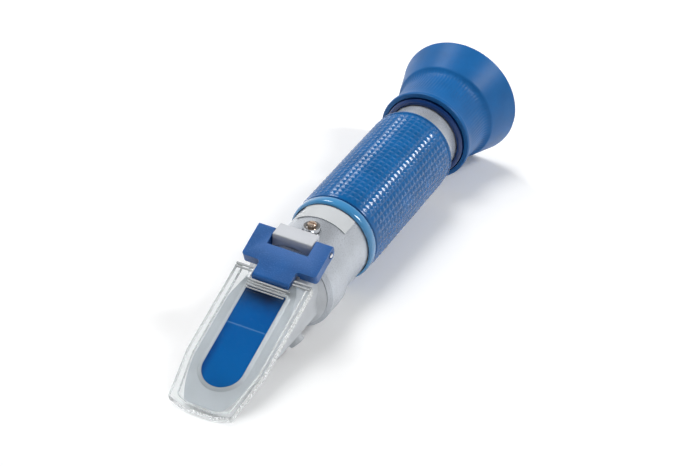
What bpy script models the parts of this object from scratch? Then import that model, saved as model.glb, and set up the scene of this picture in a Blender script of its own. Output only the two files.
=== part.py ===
"""A handheld refractometer built as separate pieces.

Lengths are in metres. The tube's axis runs along Y, the prism end is at -Y, the eyecup at +Y and Z is up.
Stations named ..._Y are measured along the axis from the front edge of the grip collar.
The cover and the prism lie on a slope.
A point there is given by its reach down the slope and its drop below the cover's top plane.
"""

import math

import bmesh
import bpy
from mathutils import Matrix, Vector

# General values
SEAT_GAP = 0.0003
RUN_GAP = 0.0003
OVERRUN = 0.001
ROUND_STEPS = 48
BORE_STEPS = 32
SMALL_STEPS = 18
SMOOTH_ANGLE = math.radians(35)
FULL_TURN = 2 * math.pi
HALF = 0.5

# Body tube
TUBE_RADIUS = 0.0126
TUBE_BORE = 0.0104
NOSE_RING_RADIUS = 0.0139
NOSE_RING_REAR_Y = -0.0165
NOSE_RING_RAMP = 0.0013
NOSE_RING_FRONT_Y = -0.0256
SEAM_Y = -0.0266
TUBE_STEP_Y = 0.0570
REAR_TUBE_RADIUS = 0.0117
REAR_TUBE_BORE = 0.0100
REAR_BORE_Y = 0.0560
REAR_TUBE_END_Y = 0.0740
TUBE_EDGE = 0.0004

# Eyecup
CUP_LIP_Y = 0.0667
CUP_LIP_RADIUS = 0.0153
CUP_LIP_LENGTH = 0.0012
CUP_LIP_ROUND = 0.0005
CUP_SLEEVE_RADIUS = 0.0149
CUP_SLEEVE_BORE = 0.0138
CUP_SLEEVE_END_Y = 0.0795
CUP_CREASE_Y = 0.0822
CUP_CREASE_RADIUS = 0.0164
CUP_MID_Y = 0.0876
CUP_MID_RADIUS = 0.0182
CUP_RIM_Y = 0.0937
CUP_RIM_RADIUS = 0.0200
CUP_RIM_FACE = 0.0014
CUP_RIM_ROUND = 0.0005
CUP_BOWL_MID_RADIUS = 0.0160
CUP_BOWL_FOOT_RADIUS = 0.0132
CUP_BOWL_FLOOR_Y = 0.0825
CUP_WEB = 0.0014
CUP_EYE_HOLE = 0.0084

# Focus ring and its cap
RING_FRONT_Y = 0.0652
RING_RADIUS = 0.0135
RING_NOSE_RADIUS = 0.0129
RING_NOSE_LENGTH = 0.0007
RING_GROOVE_Y = 0.0662
RING_GROOVE_LENGTH = 0.0006
RING_GROOVE_RADIUS = 0.0131
RING_RECESS_Y = 0.0762
RING_CAP_Y = 0.0788
RING_CAP_LENGTH = 0.0014
RING_WALL = 0.0008
FRICTION_GROOVE_Y = 0.0690
FRICTION_GROOVE_LENGTH = 0.0014
FRICTION_GROOVE_DEPTH = 0.0006

# Lens barrel and lenses
BARREL_FRONT_Y = 0.0625
BARREL_BORE = 0.0084
BARREL_FLANGE_Y = 0.0765
BARREL_FLANGE_LENGTH = 0.0020
BARREL_REAR_Y = 0.0798
BARREL_LIP = 0.0008
BARREL_LIP_LENGTH = 0.0010
KEY_SLOT_LENGTH = 0.0074
KEY_SLOT_WIDTH = 0.0026
KEY_PIN_Y = 0.0715
KEY_PIN_RADIUS = 0.0009
KEY_PIN_REACH = 0.0005
FIELD_LENS_LENGTH = 0.0030
FIELD_LENS_CROWN = 0.0009
EYE_LENS_LENGTH = 0.0034
EYE_LENS_CROWN = 0.0011
SPACER_WALL = 0.0007
RETAINER_LENGTH = 0.0012
RETAINER_WALL = 0.0009

# Grip and collar
COLLAR_FRONT_RADIUS = 0.0131
COLLAR_RADIUS = 0.0138
COLLAR_LENGTH = 0.0036
COLLAR_ROUND = 0.0009
GRIP_GAP = 0.0003
GRIP_RADIUS = 0.01395
GRIP_REAR_Y = 0.0577
GRIP_EDGE = 0.0005
GRIP_END_BAND = 0.0012
GRIP_END_DEPTH = 0.0002

# Label plate
LABEL_THICKNESS = 0.00025
LABEL_GAP = 0.00005
LABEL_FRONT_Y = -0.0072
LABEL_REAR_Y = -0.0004
LABEL_HALF_ANGLE = math.radians(38.5)
LABEL_STEPS = 22

# Slope of the cover and prism
SLOPE_ANGLE = math.radians(22.2)
SLOPE_Y = -0.0189
SLOPE_HEIGHT = 0.0189

# Hinge
HINGE_REACH = 0.0069
HINGE_DROP = 0.0019
PIN_RADIUS = 0.00075
PIN_PROUD = 0.0003
PIN_EDGE = 0.0002
LUG_HALF_WIDTH = 0.0060
LUG_REAR_Y = -0.0208
LUG_REAR_HEIGHT = 0.0174
LUG_FRONT_Y = -0.0260
LUG_FRONT_HEIGHT = 0.0168
LUG_FOOT_DEPTH = 0.0060
LUG_EDGE = 0.0003
ROUND_END_STEPS = 5

# Cover holder
HOLDER_HALF_WIDTH = 0.0120
HOLDER_FRONT_REACH = 0.0165
HOLDER_NOTCH_HALF_WIDTH = 0.0066
HOLDER_NOTCH_REACH = 0.0097
HOLDER_CENTRE_DROP = 0.0024
HOLDER_FOOT_DROP = 0.0034
HOLDER_CORNER = 0.0010
HOLDER_REAR_REACH = 0.0047
HOLDER_REAR_ROUND = 0.0006
TONGUE_HALF_WIDTH = 0.0059
TONGUE_REACH = 0.0222
TONGUE_DROP = 0.0015
TONGUE_NOSE = 0.0012
TONGUE_NOSE_STEPS = 5
CORNER_STEPS = 4

# Daylight plate
PLATE_TOP_DROP = 0.0006
PLATE_UNDER_DROP = 0.0022
PLATE_SKIRT_DROP = 0.0038
PLATE_HALF_WIDTH = 0.01245
PLATE_EAR_REACH = 0.0190
PLATE_NOTCH_REACH = 0.0225
PLATE_BEND_REACH = 0.0504
PLATE_FRONT_HALF_WIDTH = 0.0102
PLATE_FRONT_GAP = 0.0012
PLATE_NOSE_LENGTH = 0.0016
PLATE_FRONT_CORNER = 0.0011
PLATE_WALL = 0.0019
PLATE_FRONT_WALL = 0.0020
PLATE_EDGE = 0.0009
TAB_HALF_WIDTH = 0.0048
TAB_REACH = 0.0172
TAB_DEPTH = 0.0007
TAB_GAP = 0.0003

# Prism head
FLANGE_RADIUS = 0.0125
FLANGE_REAR_Y = -0.0268
FLANGE_LENGTH = 0.0012
NECK_RADIUS = 0.0112
NECK_TAPER_Y = -0.0460
NOSE_RADIUS = 0.0102
NOSE_END_MARGIN = 0.0010
HEAD_FACE_DROP = 0.0031
HEAD_HALF_WIDTH = 0.0101
HEAD_NOSE_MARGIN = 0.0070
HEAD_NOSE_CORNER = 0.0026
HEAD_LIFT_ANGLE = math.radians(3.2)
SPIGOT_LENGTH = 0.0045
LIGHT_BORE = 0.0054
FOOT_Y = -0.0380
FOOT_ANGLE = math.radians(45)
FOOT_RADIUS = 0.0025
FOOT_REACH = 0.0128
FOOT_SCREW_RADIUS = 0.0014
FOOT_SCREW_DEPTH = 0.0022
FOOT_SCREW_HEAD = 0.0019
FOOT_SCREW_HEAD_LENGTH = 0.0008
FOOT_SCREW_SLOT = 0.0005

# Prism and its seal
PRISM_DROP = 0.0025
PRISM_HALF_WIDTH = 0.0060
PRISM_REAR_REACH = 0.0246
PRISM_FRONT_REACH = 0.0578
PRISM_CORNER = 0.0006
PRISM_FLOOR = -0.0080
PRISM_BACK_Y = -0.0412
PRISM_ROUND_STEPS = 14
SEAL_WIDTH = 0.0007
SEAL_DEPTH = 0.0010
SEAL_PROUD = 0.0001

# Calibration screw and objective
SCREW_Y = -0.0131
BUSH_RADIUS = 0.0025
BUSH_BORE = 0.0018
BUSH_HEIGHT = 0.0012
BUSH_DEPTH = 0.0008
SCREW_HEAD_RADIUS = 0.0013
SCREW_HEAD_TOP = 0.0148
SCREW_HEAD_LENGTH = 0.0020
SCREW_STEM_RADIUS = 0.0008
SCREW_TIP_HEIGHT = 0.0068
SCREW_SLOT_WIDTH = 0.0005
SCREW_SLOT_DEPTH = 0.0007
SCREW_EDGE = 0.0002
CARRIER_RADIUS = 0.0086
CARRIER_LENGTH = 0.0060
CARRIER_BORE = 0.0054
CARRIER_LIP = 0.0007
CARRIER_LIP_LENGTH = 0.0010
OBJECTIVE_LENGTH = 0.0032
OBJECTIVE_CROWN = 0.0010

# Temperature strip
STRIP_HALF_WIDTH = 0.0015
STRIP_THICKNESS = 0.0004
STRIP_TOP = -0.0096
STRIP_FRONT_Y = -0.0160
STRIP_REAR_Y = 0.0100
CLAMP_LENGTH = 0.0036
CLAMP_HALF_WIDTH = 0.0020
CLAMP_HEIGHT = 0.0012

# Stop and reticle
STOP_Y = 0.0200
STOP_LENGTH = 0.0014
STOP_BORE = 0.0064
RETICLE_RING_Y = 0.0440
RETICLE_RING_LENGTH = 0.0040
RETICLE_RING_BORE = 0.0080
RETICLE_RECESS = 0.0090
RETICLE_RECESS_LENGTH = 0.0018
RETICLE_LENGTH = 0.0012


def slope_point(reach, drop):
    """The point on the centre plane at a reach down the slope and a drop below the cover's top plane."""
    along = math.cos(SLOPE_ANGLE)
    down = math.sin(SLOPE_ANGLE)
    y = SLOPE_Y - reach * along + drop * down
    z = SLOPE_HEIGHT - reach * down - drop * along
    return Vector((0, y, z))


HEAD_NOSE_REACH = PRISM_FRONT_REACH + HEAD_NOSE_MARGIN
PLATE_FRONT_REACH = HEAD_NOSE_REACH + PLATE_FRONT_GAP
PLATE_NOSE_REACH = PLATE_FRONT_REACH + PLATE_NOSE_LENGTH
NOSE_END_Y = slope_point(HEAD_NOSE_REACH, 0).y - NOSE_END_MARGIN
HINGE = slope_point(HINGE_REACH, HINGE_DROP)
LUG_FLAT_HEIGHT = HINGE.z - PIN_RADIUS - SEAT_GAP
LUG_FLAT_REAR_Y = HINGE.y + PIN_RADIUS + 2 * SEAT_GAP
TIP = slope_point(PLATE_NOSE_REACH, PLATE_TOP_DROP + PLATE_EDGE)
CENTRE_Y = HALF * (TIP.y + CUP_RIM_Y)


def clear_scene():
    for item in list(bpy.data.objects):
        bpy.data.objects.remove(item, do_unlink=True)


def make_material(name, colour, roughness, metallic=0.0, transmission=0.0, alpha=1.0):
    material = bpy.data.materials.new(name)
    material.use_nodes = True
    shader = material.node_tree.nodes["Principled BSDF"]
    shader.inputs["Base Color"].default_value = (*colour, 1)
    shader.inputs["Roughness"].default_value = roughness
    shader.inputs["Metallic"].default_value = metallic
    shader.inputs["Transmission Weight"].default_value = transmission
    shader.inputs["Alpha"].default_value = alpha
    material.diffuse_color = (*colour, alpha)
    return material


def make_anchor(name, location, parent=None):
    anchor = bpy.data.objects.new(name, None)
    bpy.context.collection.objects.link(anchor)
    anchor.location = location
    anchor.parent = parent
    return anchor


def make_object(name, shape, parent, location=(0, 0, 0), tilt=0.0):
    bmesh.ops.recalc_face_normals(shape, faces=shape.faces)
    mesh = bpy.data.meshes.new(name)
    shape.to_mesh(mesh)
    shape.free()
    item = bpy.data.objects.new(name, mesh)
    bpy.context.collection.objects.link(item)
    item.parent = parent
    item.location = location
    item.rotation_euler = (tilt, 0, 0)
    return item


def lathe(profile, steps):
    """A solid turned about Y from a closed outline of (station, radius) pairs."""
    shape = bmesh.new()
    rings = []
    for station, radius in profile:
        if radius == 0:
            rings.append([shape.verts.new((0, station, 0))])
            continue
        ring = []
        for index in range(steps):
            angle = FULL_TURN * index / steps
            ring.append(shape.verts.new((radius * math.sin(angle), station, radius * math.cos(angle))))
        rings.append(ring)
    for first, second in zip(rings, rings[1:] + rings[:1]):
        for index in range(steps):
            after = (index + 1) % steps
            corners = [first[index % len(first)], first[after % len(first)]]
            corners += [second[after % len(second)], second[index % len(second)]]
            corners = list(dict.fromkeys(corners))
            if len(corners) > 2:
                shape.faces.new(corners)
    return shape


def prism_of(outline, low, high):
    """A solid that stands on an outline of (x, y) points between two heights."""
    shape = bmesh.new()
    foot = [shape.verts.new((x, y, low)) for x, y in outline]
    head = [shape.verts.new((x, y, high)) for x, y in outline]
    shape.faces.new(list(reversed(foot)))
    shape.faces.new(head)
    for index in range(len(outline)):
        after = (index + 1) % len(outline)
        shape.faces.new((foot[index], foot[after], head[after], head[index]))
    return shape


def bar_of(outline, half_width):
    """A solid across X with a side outline of (y, z) points."""
    shape = prism_of(outline, -half_width, half_width)
    turn = Matrix(((0, 0, 1), (1, 0, 0), (0, 1, 0)))
    bmesh.ops.transform(shape, matrix=turn.to_4x4(), verts=shape.verts)
    return shape


def upright(shape):
    """Turns a lathed solid from the Y axis to the Z axis."""
    turn = Matrix.Rotation(math.radians(-90), 3, "X")
    bmesh.ops.rotate(shape, cent=(0, 0, 0), matrix=turn, verts=shape.verts)
    return shape


def sleeve(start, end, inner, outer):
    """A plain ring along Y, or a disc where its inner radius is zero."""
    return lathe([(start, inner), (start, outer), (end, outer), (end, inner)], BORE_STEPS)


def upright_rod(low, high, radius):
    """An upright cylinder between two heights."""
    return upright(lathe([(-high, 0), (-high, radius), (-low, radius), (-low, 0)], SMALL_STEPS))


def settle(item):
    """Writes an object's modifiers into its mesh."""
    graph = bpy.context.evaluated_depsgraph_get()
    mesh = bpy.data.meshes.new_from_object(item.evaluated_get(graph))
    item.modifiers.clear()
    item.data = mesh


def combine(item, tool, operation):
    step = item.modifiers.new("step", "BOOLEAN")
    step.object = tool
    step.operation = operation
    step.solver = "EXACT"
    bpy.context.view_layer.update()
    settle(item)
    bpy.data.objects.remove(tool, do_unlink=True)


def soften(item, width, segments=2, angle=SMOOTH_ANGLE):
    step = item.modifiers.new("edge", "BEVEL")
    step.width = width
    step.segments = segments
    step.limit_method = "ANGLE"
    step.angle_limit = angle
    step.use_clamp_overlap = True
    bpy.context.view_layer.update()
    settle(item)


def finish(item, material):
    item.data.materials.clear()
    item.data.materials.append(material)
    for face in item.data.polygons:
        face.use_smooth = True
        face.material_index = 0
    item.data.set_sharp_from_angle(angle=SMOOTH_ANGLE)
    return item


def add_piece(name, shape, parent, colour, roughness, metallic=0.0, transmission=0.0):
    """A finished piece made of one shape and one material of its own."""
    material = make_material(name + "_finish", colour, roughness, metallic, transmission)
    return finish(make_object(name, shape, parent), material)


def on_slope(name, shape, parent, location=(0, 0, 0)):
    """An object that leans with the slope of the cover."""
    return make_object(name, shape, parent, location, SLOPE_ANGLE)


def rounded(outline, corners, steps=CORNER_STEPS):
    """The outline with the corners at the given indices rounded off by their radii."""
    points = []
    count = len(outline)
    for index, point in enumerate(outline):
        here = Vector(point)
        radius = corners.get(index, 0)
        if radius == 0:
            points.append(tuple(here))
            continue
        back = (Vector(outline[index - 1]) - here).normalized()
        ahead = (Vector(outline[(index + 1) % count]) - here).normalized()
        bend = back.angle(ahead)
        inset = radius / math.tan(HALF * bend)
        centre = here + (back + ahead).normalized() * radius / math.sin(HALF * bend)
        start = here + back * inset - centre
        end = here + ahead * inset - centre
        sweep = start.angle(end)
        for step in range(steps + 1):
            share = step / steps
            mix = start * math.sin((1 - share) * sweep) + end * math.sin(share * sweep)
            points.append(tuple(centre + mix / math.sin(sweep)))
    return points


def plan(points):
    """Turns (x, reach) points into the plan of a piece that is built about the hinge."""
    return [(x, HINGE_REACH - reach) for x, reach in points]


def level(drop):
    """The height of a drop in a piece that is built about the hinge."""
    return HINGE_DROP - drop


def make_body_tube(parent):
    profile = [
        (SEAM_Y, TUBE_BORE),
        (SEAM_Y, TUBE_RADIUS),
        (NOSE_RING_FRONT_Y, NOSE_RING_RADIUS),
        (NOSE_RING_REAR_Y, NOSE_RING_RADIUS),
        (NOSE_RING_REAR_Y + NOSE_RING_RAMP, TUBE_RADIUS),
        (TUBE_STEP_Y - TUBE_EDGE, TUBE_RADIUS),
        (TUBE_STEP_Y, TUBE_RADIUS - TUBE_EDGE),
        (TUBE_STEP_Y, REAR_TUBE_RADIUS),
        (REAR_TUBE_END_Y - TUBE_EDGE, REAR_TUBE_RADIUS),
        (REAR_TUBE_END_Y, REAR_TUBE_RADIUS - TUBE_EDGE),
        (REAR_TUBE_END_Y, REAR_TUBE_BORE),
        (REAR_BORE_Y, REAR_TUBE_BORE),
        (REAR_BORE_Y, TUBE_BORE),
    ]
    tube = make_object("body_tube", lathe(profile, ROUND_STEPS), parent)
    top = TUBE_RADIUS + BUSH_HEIGHT
    holes = [
        (SCREW_Y, TUBE_RADIUS - BUSH_DEPTH - SEAT_GAP, top, BUSH_RADIUS + SEAT_GAP),
        (SCREW_Y, CARRIER_RADIUS, TUBE_RADIUS, SCREW_STEM_RADIUS + RUN_GAP),
        (KEY_PIN_Y, BARREL_BORE, TUBE_RADIUS, KEY_PIN_RADIUS + SEAT_GAP),
    ]
    for station, low, high, radius in holes:
        hole = make_object("hole", upright_rod(low, high, radius), parent, (0, station, 0))
        combine(tube, hole, "DIFFERENCE")
    combine(tube, make_object("flat", lug_flat(), parent), "DIFFERENCE")
    return finish(tube, make_material("tube_silver", (0.56, 0.59, 0.63), 0.38, 0.75))


def lug_flat():
    """The block of space above the flat on the ring that lets the hinge pin pass."""
    outline = [
        (SEAM_Y - CUP_RIM_RADIUS, LUG_FLAT_HEIGHT),
        (LUG_FLAT_REAR_Y, LUG_FLAT_HEIGHT),
        (LUG_FLAT_REAR_Y, CUP_RIM_RADIUS),
        (SEAM_Y - CUP_RIM_RADIUS, CUP_RIM_RADIUS),
    ]
    return bar_of(outline, LUG_HALF_WIDTH + SEAT_GAP)


def make_hinge_lug(parent):
    """The block on the tube that holds the pin, with a nearly level top and an upright front."""
    foot = HINGE.z - LUG_FOOT_DEPTH
    outline = [
        (LUG_FRONT_Y, foot),
        (LUG_REAR_Y, foot),
        (LUG_REAR_Y, LUG_REAR_HEIGHT),
        (LUG_FRONT_Y, LUG_FRONT_HEIGHT),
    ]
    lug = make_object("hinge_lug", bar_of(outline, LUG_HALF_WIDTH), parent)
    soften(lug, LUG_EDGE)
    seat = [
        (FLANGE_REAR_Y - FLANGE_LENGTH - OVERRUN - TUBE_RADIUS, 0),
        (FLANGE_REAR_Y - FLANGE_LENGTH - OVERRUN - TUBE_RADIUS, FLANGE_RADIUS + SEAT_GAP),
        (SEAM_Y, FLANGE_RADIUS + SEAT_GAP),
        (NOSE_RING_FRONT_Y - SEAT_GAP, NOSE_RING_RADIUS + SEAT_GAP),
        (OVERRUN, NOSE_RING_RADIUS + SEAT_GAP),
        (OVERRUN, 0),
    ]
    combine(lug, make_object("saddle", lathe(seat, ROUND_STEPS), parent), "DIFFERENCE")
    bore = bar_of(circle_points(PIN_RADIUS + SEAT_GAP, SMALL_STEPS), LUG_HALF_WIDTH + OVERRUN)
    combine(lug, make_object("bore", bore, parent, HINGE), "DIFFERENCE")
    return finish(lug, make_material("lug_silver", (0.60, 0.62, 0.66), 0.3, 0.8))


def circle_points(radius, steps):
    points = []
    for index in range(steps):
        angle = FULL_TURN * index / steps
        points.append((radius * math.cos(angle), radius * math.sin(angle)))
    return points


def make_hinge_pin(parent):
    rod = bar_of(circle_points(PIN_RADIUS, SMALL_STEPS), HOLDER_HALF_WIDTH + PIN_PROUD)
    pin = make_object("hinge_pin", rod, parent, HINGE)
    soften(pin, PIN_EDGE, 1)
    return finish(pin, make_material("pin_steel", (0.72, 0.73, 0.75), 0.22, 1.0))


def head_plan():
    """The head's outline on the slope, with its sides inside the plate's walls."""
    taper = (PLATE_HALF_WIDTH - PLATE_FRONT_HALF_WIDTH) / (PLATE_FRONT_REACH - PLATE_BEND_REACH)
    nose_half = HEAD_HALF_WIDTH - taper * (HEAD_NOSE_REACH - PLATE_BEND_REACH)
    points = [
        (HEAD_HALF_WIDTH, -HEAD_NOSE_REACH),
        (HEAD_HALF_WIDTH, PLATE_BEND_REACH),
        (nose_half, HEAD_NOSE_REACH),
        (-nose_half, HEAD_NOSE_REACH),
        (-HEAD_HALF_WIDTH, PLATE_BEND_REACH),
        (-HEAD_HALF_WIDTH, -HEAD_NOSE_REACH),
    ]
    return rounded(plan(points), {2: HEAD_NOSE_CORNER, 3: HEAD_NOSE_CORNER})


def prism_plan(spare):
    """The prism's outline on the slope, spread outwards by a spare width."""
    half = PRISM_HALF_WIDTH
    points = [(half + spare, PRISM_REAR_REACH - spare)]
    for step in range(PRISM_ROUND_STEPS + 1):
        angle = math.pi * step / PRISM_ROUND_STEPS
        reach = PRISM_FRONT_REACH - half + (half + spare) * math.sin(angle)
        points.append(((half + spare) * math.cos(angle), reach))
    points.append((-half - spare, PRISM_REAR_REACH - spare))
    last = len(points) - 1
    corner = PRISM_CORNER + spare
    return rounded(plan(points), {0: corner, last: corner})


def prism_block(name, parent, spare, top_drop):
    """The prism's wedge, spread outwards by a spare width, with its top at a drop on the slope."""
    shape = prism_of(prism_plan(spare), -PRISM_FRONT_REACH, level(top_drop))
    block = on_slope(name, shape, parent, HINGE)
    keep = [
        (NOSE_END_Y - PRISM_FRONT_REACH, PRISM_FLOOR - spare),
        (PRISM_BACK_Y + spare, PRISM_FLOOR - spare),
        (PRISM_BACK_Y + spare, CUP_RIM_RADIUS),
        (NOSE_END_Y - PRISM_FRONT_REACH, CUP_RIM_RADIUS),
    ]
    combine(block, make_object("keep", bar_of(keep, CUP_RIM_RADIUS), parent), "INTERSECT")
    return block


def make_prism_head(parent):
    body = [
        (FLANGE_REAR_Y - FLANGE_LENGTH + OVERRUN * HALF, 0),
        (FLANGE_REAR_Y - FLANGE_LENGTH + OVERRUN * HALF, NECK_RADIUS),
        (NECK_TAPER_Y, NECK_RADIUS),
        (NOSE_END_Y, NOSE_RADIUS),
        (NOSE_END_Y, 0),
    ]
    head = make_object("prism_head", lathe(body, ROUND_STEPS), parent)
    trim = prism_of(head_plan(), -CUP_RIM_Y, level(HEAD_FACE_DROP))
    combine(head, on_slope("trim", trim, parent, HINGE), "INTERSECT")
    under = [
        (NECK_TAPER_Y, -NECK_RADIUS),
        (NECK_TAPER_Y, -CUP_RIM_RADIUS),
        (NOSE_END_Y - OVERRUN, -CUP_RIM_RADIUS),
        (NOSE_END_Y - OVERRUN, -NECK_RADIUS + (NECK_TAPER_Y - NOSE_END_Y) * math.tan(HEAD_LIFT_ANGLE)),
    ]
    combine(head, make_object("under", bar_of(under, CUP_RIM_RADIUS), parent), "DIFFERENCE")
    cone = (FLANGE_RADIUS - NECK_RADIUS) / FLANGE_LENGTH
    collar = [
        (FLANGE_REAR_Y + SPIGOT_LENGTH, 0),
        (FLANGE_REAR_Y + SPIGOT_LENGTH, TUBE_BORE - SEAT_GAP),
        (FLANGE_REAR_Y, TUBE_BORE - SEAT_GAP),
        (FLANGE_REAR_Y, FLANGE_RADIUS),
        (FLANGE_REAR_Y - FLANGE_LENGTH - OVERRUN, NECK_RADIUS - OVERRUN * cone),
        (FLANGE_REAR_Y - FLANGE_LENGTH - OVERRUN, 0),
    ]
    combine(head, make_object("collar", lathe(collar, ROUND_STEPS), parent), "UNION")
    for side in (1, -1):
        foot = turn_to(upright_rod(-FOOT_REACH, -LIGHT_BORE - OVERRUN, FOOT_RADIUS), side)
        combine(head, make_object("foot", foot, parent, (0, FOOT_Y, 0)), "UNION")
    rear = FLANGE_REAR_Y + SPIGOT_LENGTH + OVERRUN
    light = sleeve(rear, PRISM_BACK_Y - OVERRUN, 0, LIGHT_BORE)
    combine(head, make_object("light", light, parent), "DIFFERENCE")
    combine(head, prism_block("pocket", parent, SEAT_GAP, PLATE_TOP_DROP), "DIFFERENCE")
    floor = HEAD_FACE_DROP + SEAL_DEPTH + SEAT_GAP
    groove = prism_of(prism_plan(SEAL_WIDTH + 2 * SEAT_GAP), level(floor), level(PLATE_TOP_DROP))
    combine(head, on_slope("groove", groove, parent, HINGE), "DIFFERENCE")
    for side in (1, -1):
        well = turn_to(upright(lathe(foot_screw_profile(SEAT_GAP), SMALL_STEPS)), side)
        combine(head, make_object("well", well, parent, (0, FOOT_Y, 0)), "DIFFERENCE")
    return finish(head, make_material("head_silver", (0.50, 0.53, 0.57), 0.42, 0.7))


def turn_to(shape, side):
    """Turns an upright solid, which points down, to one side's foot."""
    turn = Matrix.Rotation(-side * FOOT_ANGLE, 3, "Y")
    bmesh.ops.rotate(shape, cent=(0, 0, 0), matrix=turn, verts=shape.verts)
    return shape


def foot_screw_profile(spare):
    """A foot screw's outline, or that of its hole where the spare width isn't zero."""
    top = FOOT_REACH + spare
    return [
        (top, 0),
        (top, FOOT_SCREW_HEAD + spare),
        (FOOT_REACH - FOOT_SCREW_HEAD_LENGTH - spare, FOOT_SCREW_HEAD + spare),
        (FOOT_REACH - FOOT_SCREW_HEAD_LENGTH - spare, FOOT_SCREW_RADIUS + spare),
        (FOOT_REACH - FOOT_SCREW_HEAD_LENGTH - FOOT_SCREW_DEPTH - spare, FOOT_SCREW_RADIUS + spare),
        (FOOT_REACH - FOOT_SCREW_HEAD_LENGTH - FOOT_SCREW_DEPTH - spare, 0),
    ]


def make_foot_screws(parent):
    material = make_material("screw_steel", (0.45, 0.46, 0.48), 0.32, 1.0)
    for name, side in (("foot_screw_right", 1), ("foot_screw_left", -1)):
        shape = turn_to(upright(lathe(foot_screw_profile(0), SMALL_STEPS)), side)
        screw = make_object(name, shape, parent, (0, FOOT_Y, 0))
        half = FOOT_SCREW_SLOT * HALF
        slot = bmesh.new()
        bmesh.ops.create_cube(slot, size=1)
        size = Vector((FOOT_SCREW_HEAD * 2 + OVERRUN, FOOT_SCREW_SLOT, FOOT_SCREW_SLOT * 2))
        bmesh.ops.scale(slot, vec=size, verts=slot.verts)
        bmesh.ops.translate(slot, vec=(0, 0, -FOOT_REACH - half), verts=slot.verts)
        turn_to(slot, side)
        combine(screw, make_object("slot", slot, parent, (0, FOOT_Y, 0)), "DIFFERENCE")
        finish(screw, material)


def make_prism(parent):
    prism = prism_block("main_prism", parent, 0, PRISM_DROP)
    finish(prism, make_material("prism_glass", (0.0, 0.09, 0.32), 0.05, 0.0, 0.3))
    low = level(HEAD_FACE_DROP + SEAL_DEPTH)
    ring = prism_of(prism_plan(SEAL_WIDTH + SEAT_GAP), low, level(HEAD_FACE_DROP) + SEAL_PROUD)
    seal = on_slope("prism_seal", ring, parent, HINGE)
    inner = prism_of(prism_plan(SEAT_GAP), low - OVERRUN, level(PLATE_TOP_DROP))
    combine(seal, on_slope("inner", inner, parent, HINGE), "DIFFERENCE")
    finish(seal, make_material("seal_rubber", (0.45, 0.50, 0.54), 0.6))


def make_cover_holder(parent):
    half = HOLDER_HALF_WIDTH
    notch = HOLDER_NOTCH_HALF_WIDTH
    rear = HOLDER_REAR_REACH
    outline = [
        (notch, rear),
        (half, rear),
        (half, HOLDER_FRONT_REACH),
        (TONGUE_HALF_WIDTH, HOLDER_FRONT_REACH),
        (TONGUE_HALF_WIDTH, TONGUE_REACH),
        (-TONGUE_HALF_WIDTH, TONGUE_REACH),
        (-TONGUE_HALF_WIDTH, HOLDER_FRONT_REACH),
        (-half, HOLDER_FRONT_REACH),
        (-half, rear),
        (-notch, rear),
        (-notch, HOLDER_NOTCH_REACH),
        (notch, HOLDER_NOTCH_REACH),
    ]
    corners = {2: HOLDER_CORNER, 3: HOLDER_CORNER, 6: HOLDER_CORNER, 7: HOLDER_CORNER}
    shape = prism_of(rounded(plan(outline), corners), level(HOLDER_FOOT_DROP) - OVERRUN, level(0))
    holder = on_slope("cover_holder", shape, parent)
    side = []
    back = HINGE_REACH - rear
    inset = HOLDER_REAR_ROUND
    for step in range(ROUND_END_STEPS + 1):
        angle = math.pi * HALF * step / ROUND_END_STEPS
        side.append((back * math.sin(angle), -HINGE_DROP * math.cos(angle)))
    for step in range(CORNER_STEPS + 1):
        angle = math.pi * HALF * step / CORNER_STEPS
        side.append((back - inset + inset * math.cos(angle), level(inset) + inset * math.sin(angle)))
    tip = HINGE_REACH - TONGUE_REACH
    for step in range(TONGUE_NOSE_STEPS + 1):
        angle = math.pi * HALF * step / TONGUE_NOSE_STEPS
        side.append((tip + TONGUE_NOSE * (1 - math.sin(angle)), level(TONGUE_NOSE * (1 - math.cos(angle)))))
    side.append((tip, level(TONGUE_DROP)))
    side.append((HINGE_REACH - HOLDER_FRONT_REACH - SEAT_GAP, level(TONGUE_DROP)))
    side.append((HINGE_REACH - HOLDER_FRONT_REACH - SEAT_GAP, level(HOLDER_FOOT_DROP)))
    side.append((HINGE_REACH - HOLDER_NOTCH_REACH, level(HOLDER_FOOT_DROP)))
    combine(holder, on_slope("side", bar_of(side, half + OVERRUN), parent), "INTERSECT")
    belly = [
        (HINGE_REACH - HOLDER_NOTCH_REACH + OVERRUN, level(HOLDER_CENTRE_DROP)),
        (HINGE_REACH - HOLDER_FRONT_REACH, level(HOLDER_CENTRE_DROP)),
        (HINGE_REACH - HOLDER_FRONT_REACH, level(TONGUE_DROP)),
        (HINGE_REACH - HOLDER_FRONT_REACH - OVERRUN, level(TONGUE_DROP)),
        (HINGE_REACH - HOLDER_FRONT_REACH - OVERRUN, level(HOLDER_FOOT_DROP) - OVERRUN),
        (HINGE_REACH - HOLDER_NOTCH_REACH + OVERRUN, level(HOLDER_FOOT_DROP) - OVERRUN),
    ]
    combine(holder, on_slope("belly", bar_of(belly, notch), parent), "DIFFERENCE")
    bore = bar_of(circle_points(PIN_RADIUS + RUN_GAP, SMALL_STEPS), half + OVERRUN)
    combine(holder, make_object("bore", bore, parent), "DIFFERENCE")
    return finish(holder, make_material("holder_blue", (0.016, 0.105, 0.33), 0.34))


def plate_outline(inset, front_inset, rear):
    """The plate's outline on the slope, drawn in from its sides and front, back to a rear reach."""
    half = PLATE_HALF_WIDTH - inset
    front_half = PLATE_FRONT_HALF_WIDTH - inset
    front = PLATE_FRONT_REACH - front_inset
    nose = PLATE_NOSE_REACH - front_inset
    middle = front_half * HALF
    return [
        (half, rear),
        (half, PLATE_BEND_REACH),
        (front_half, front),
        (middle, nose),
        (-middle, nose),
        (-front_half, front),
        (-half, PLATE_BEND_REACH),
        (-half, rear),
    ]


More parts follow.
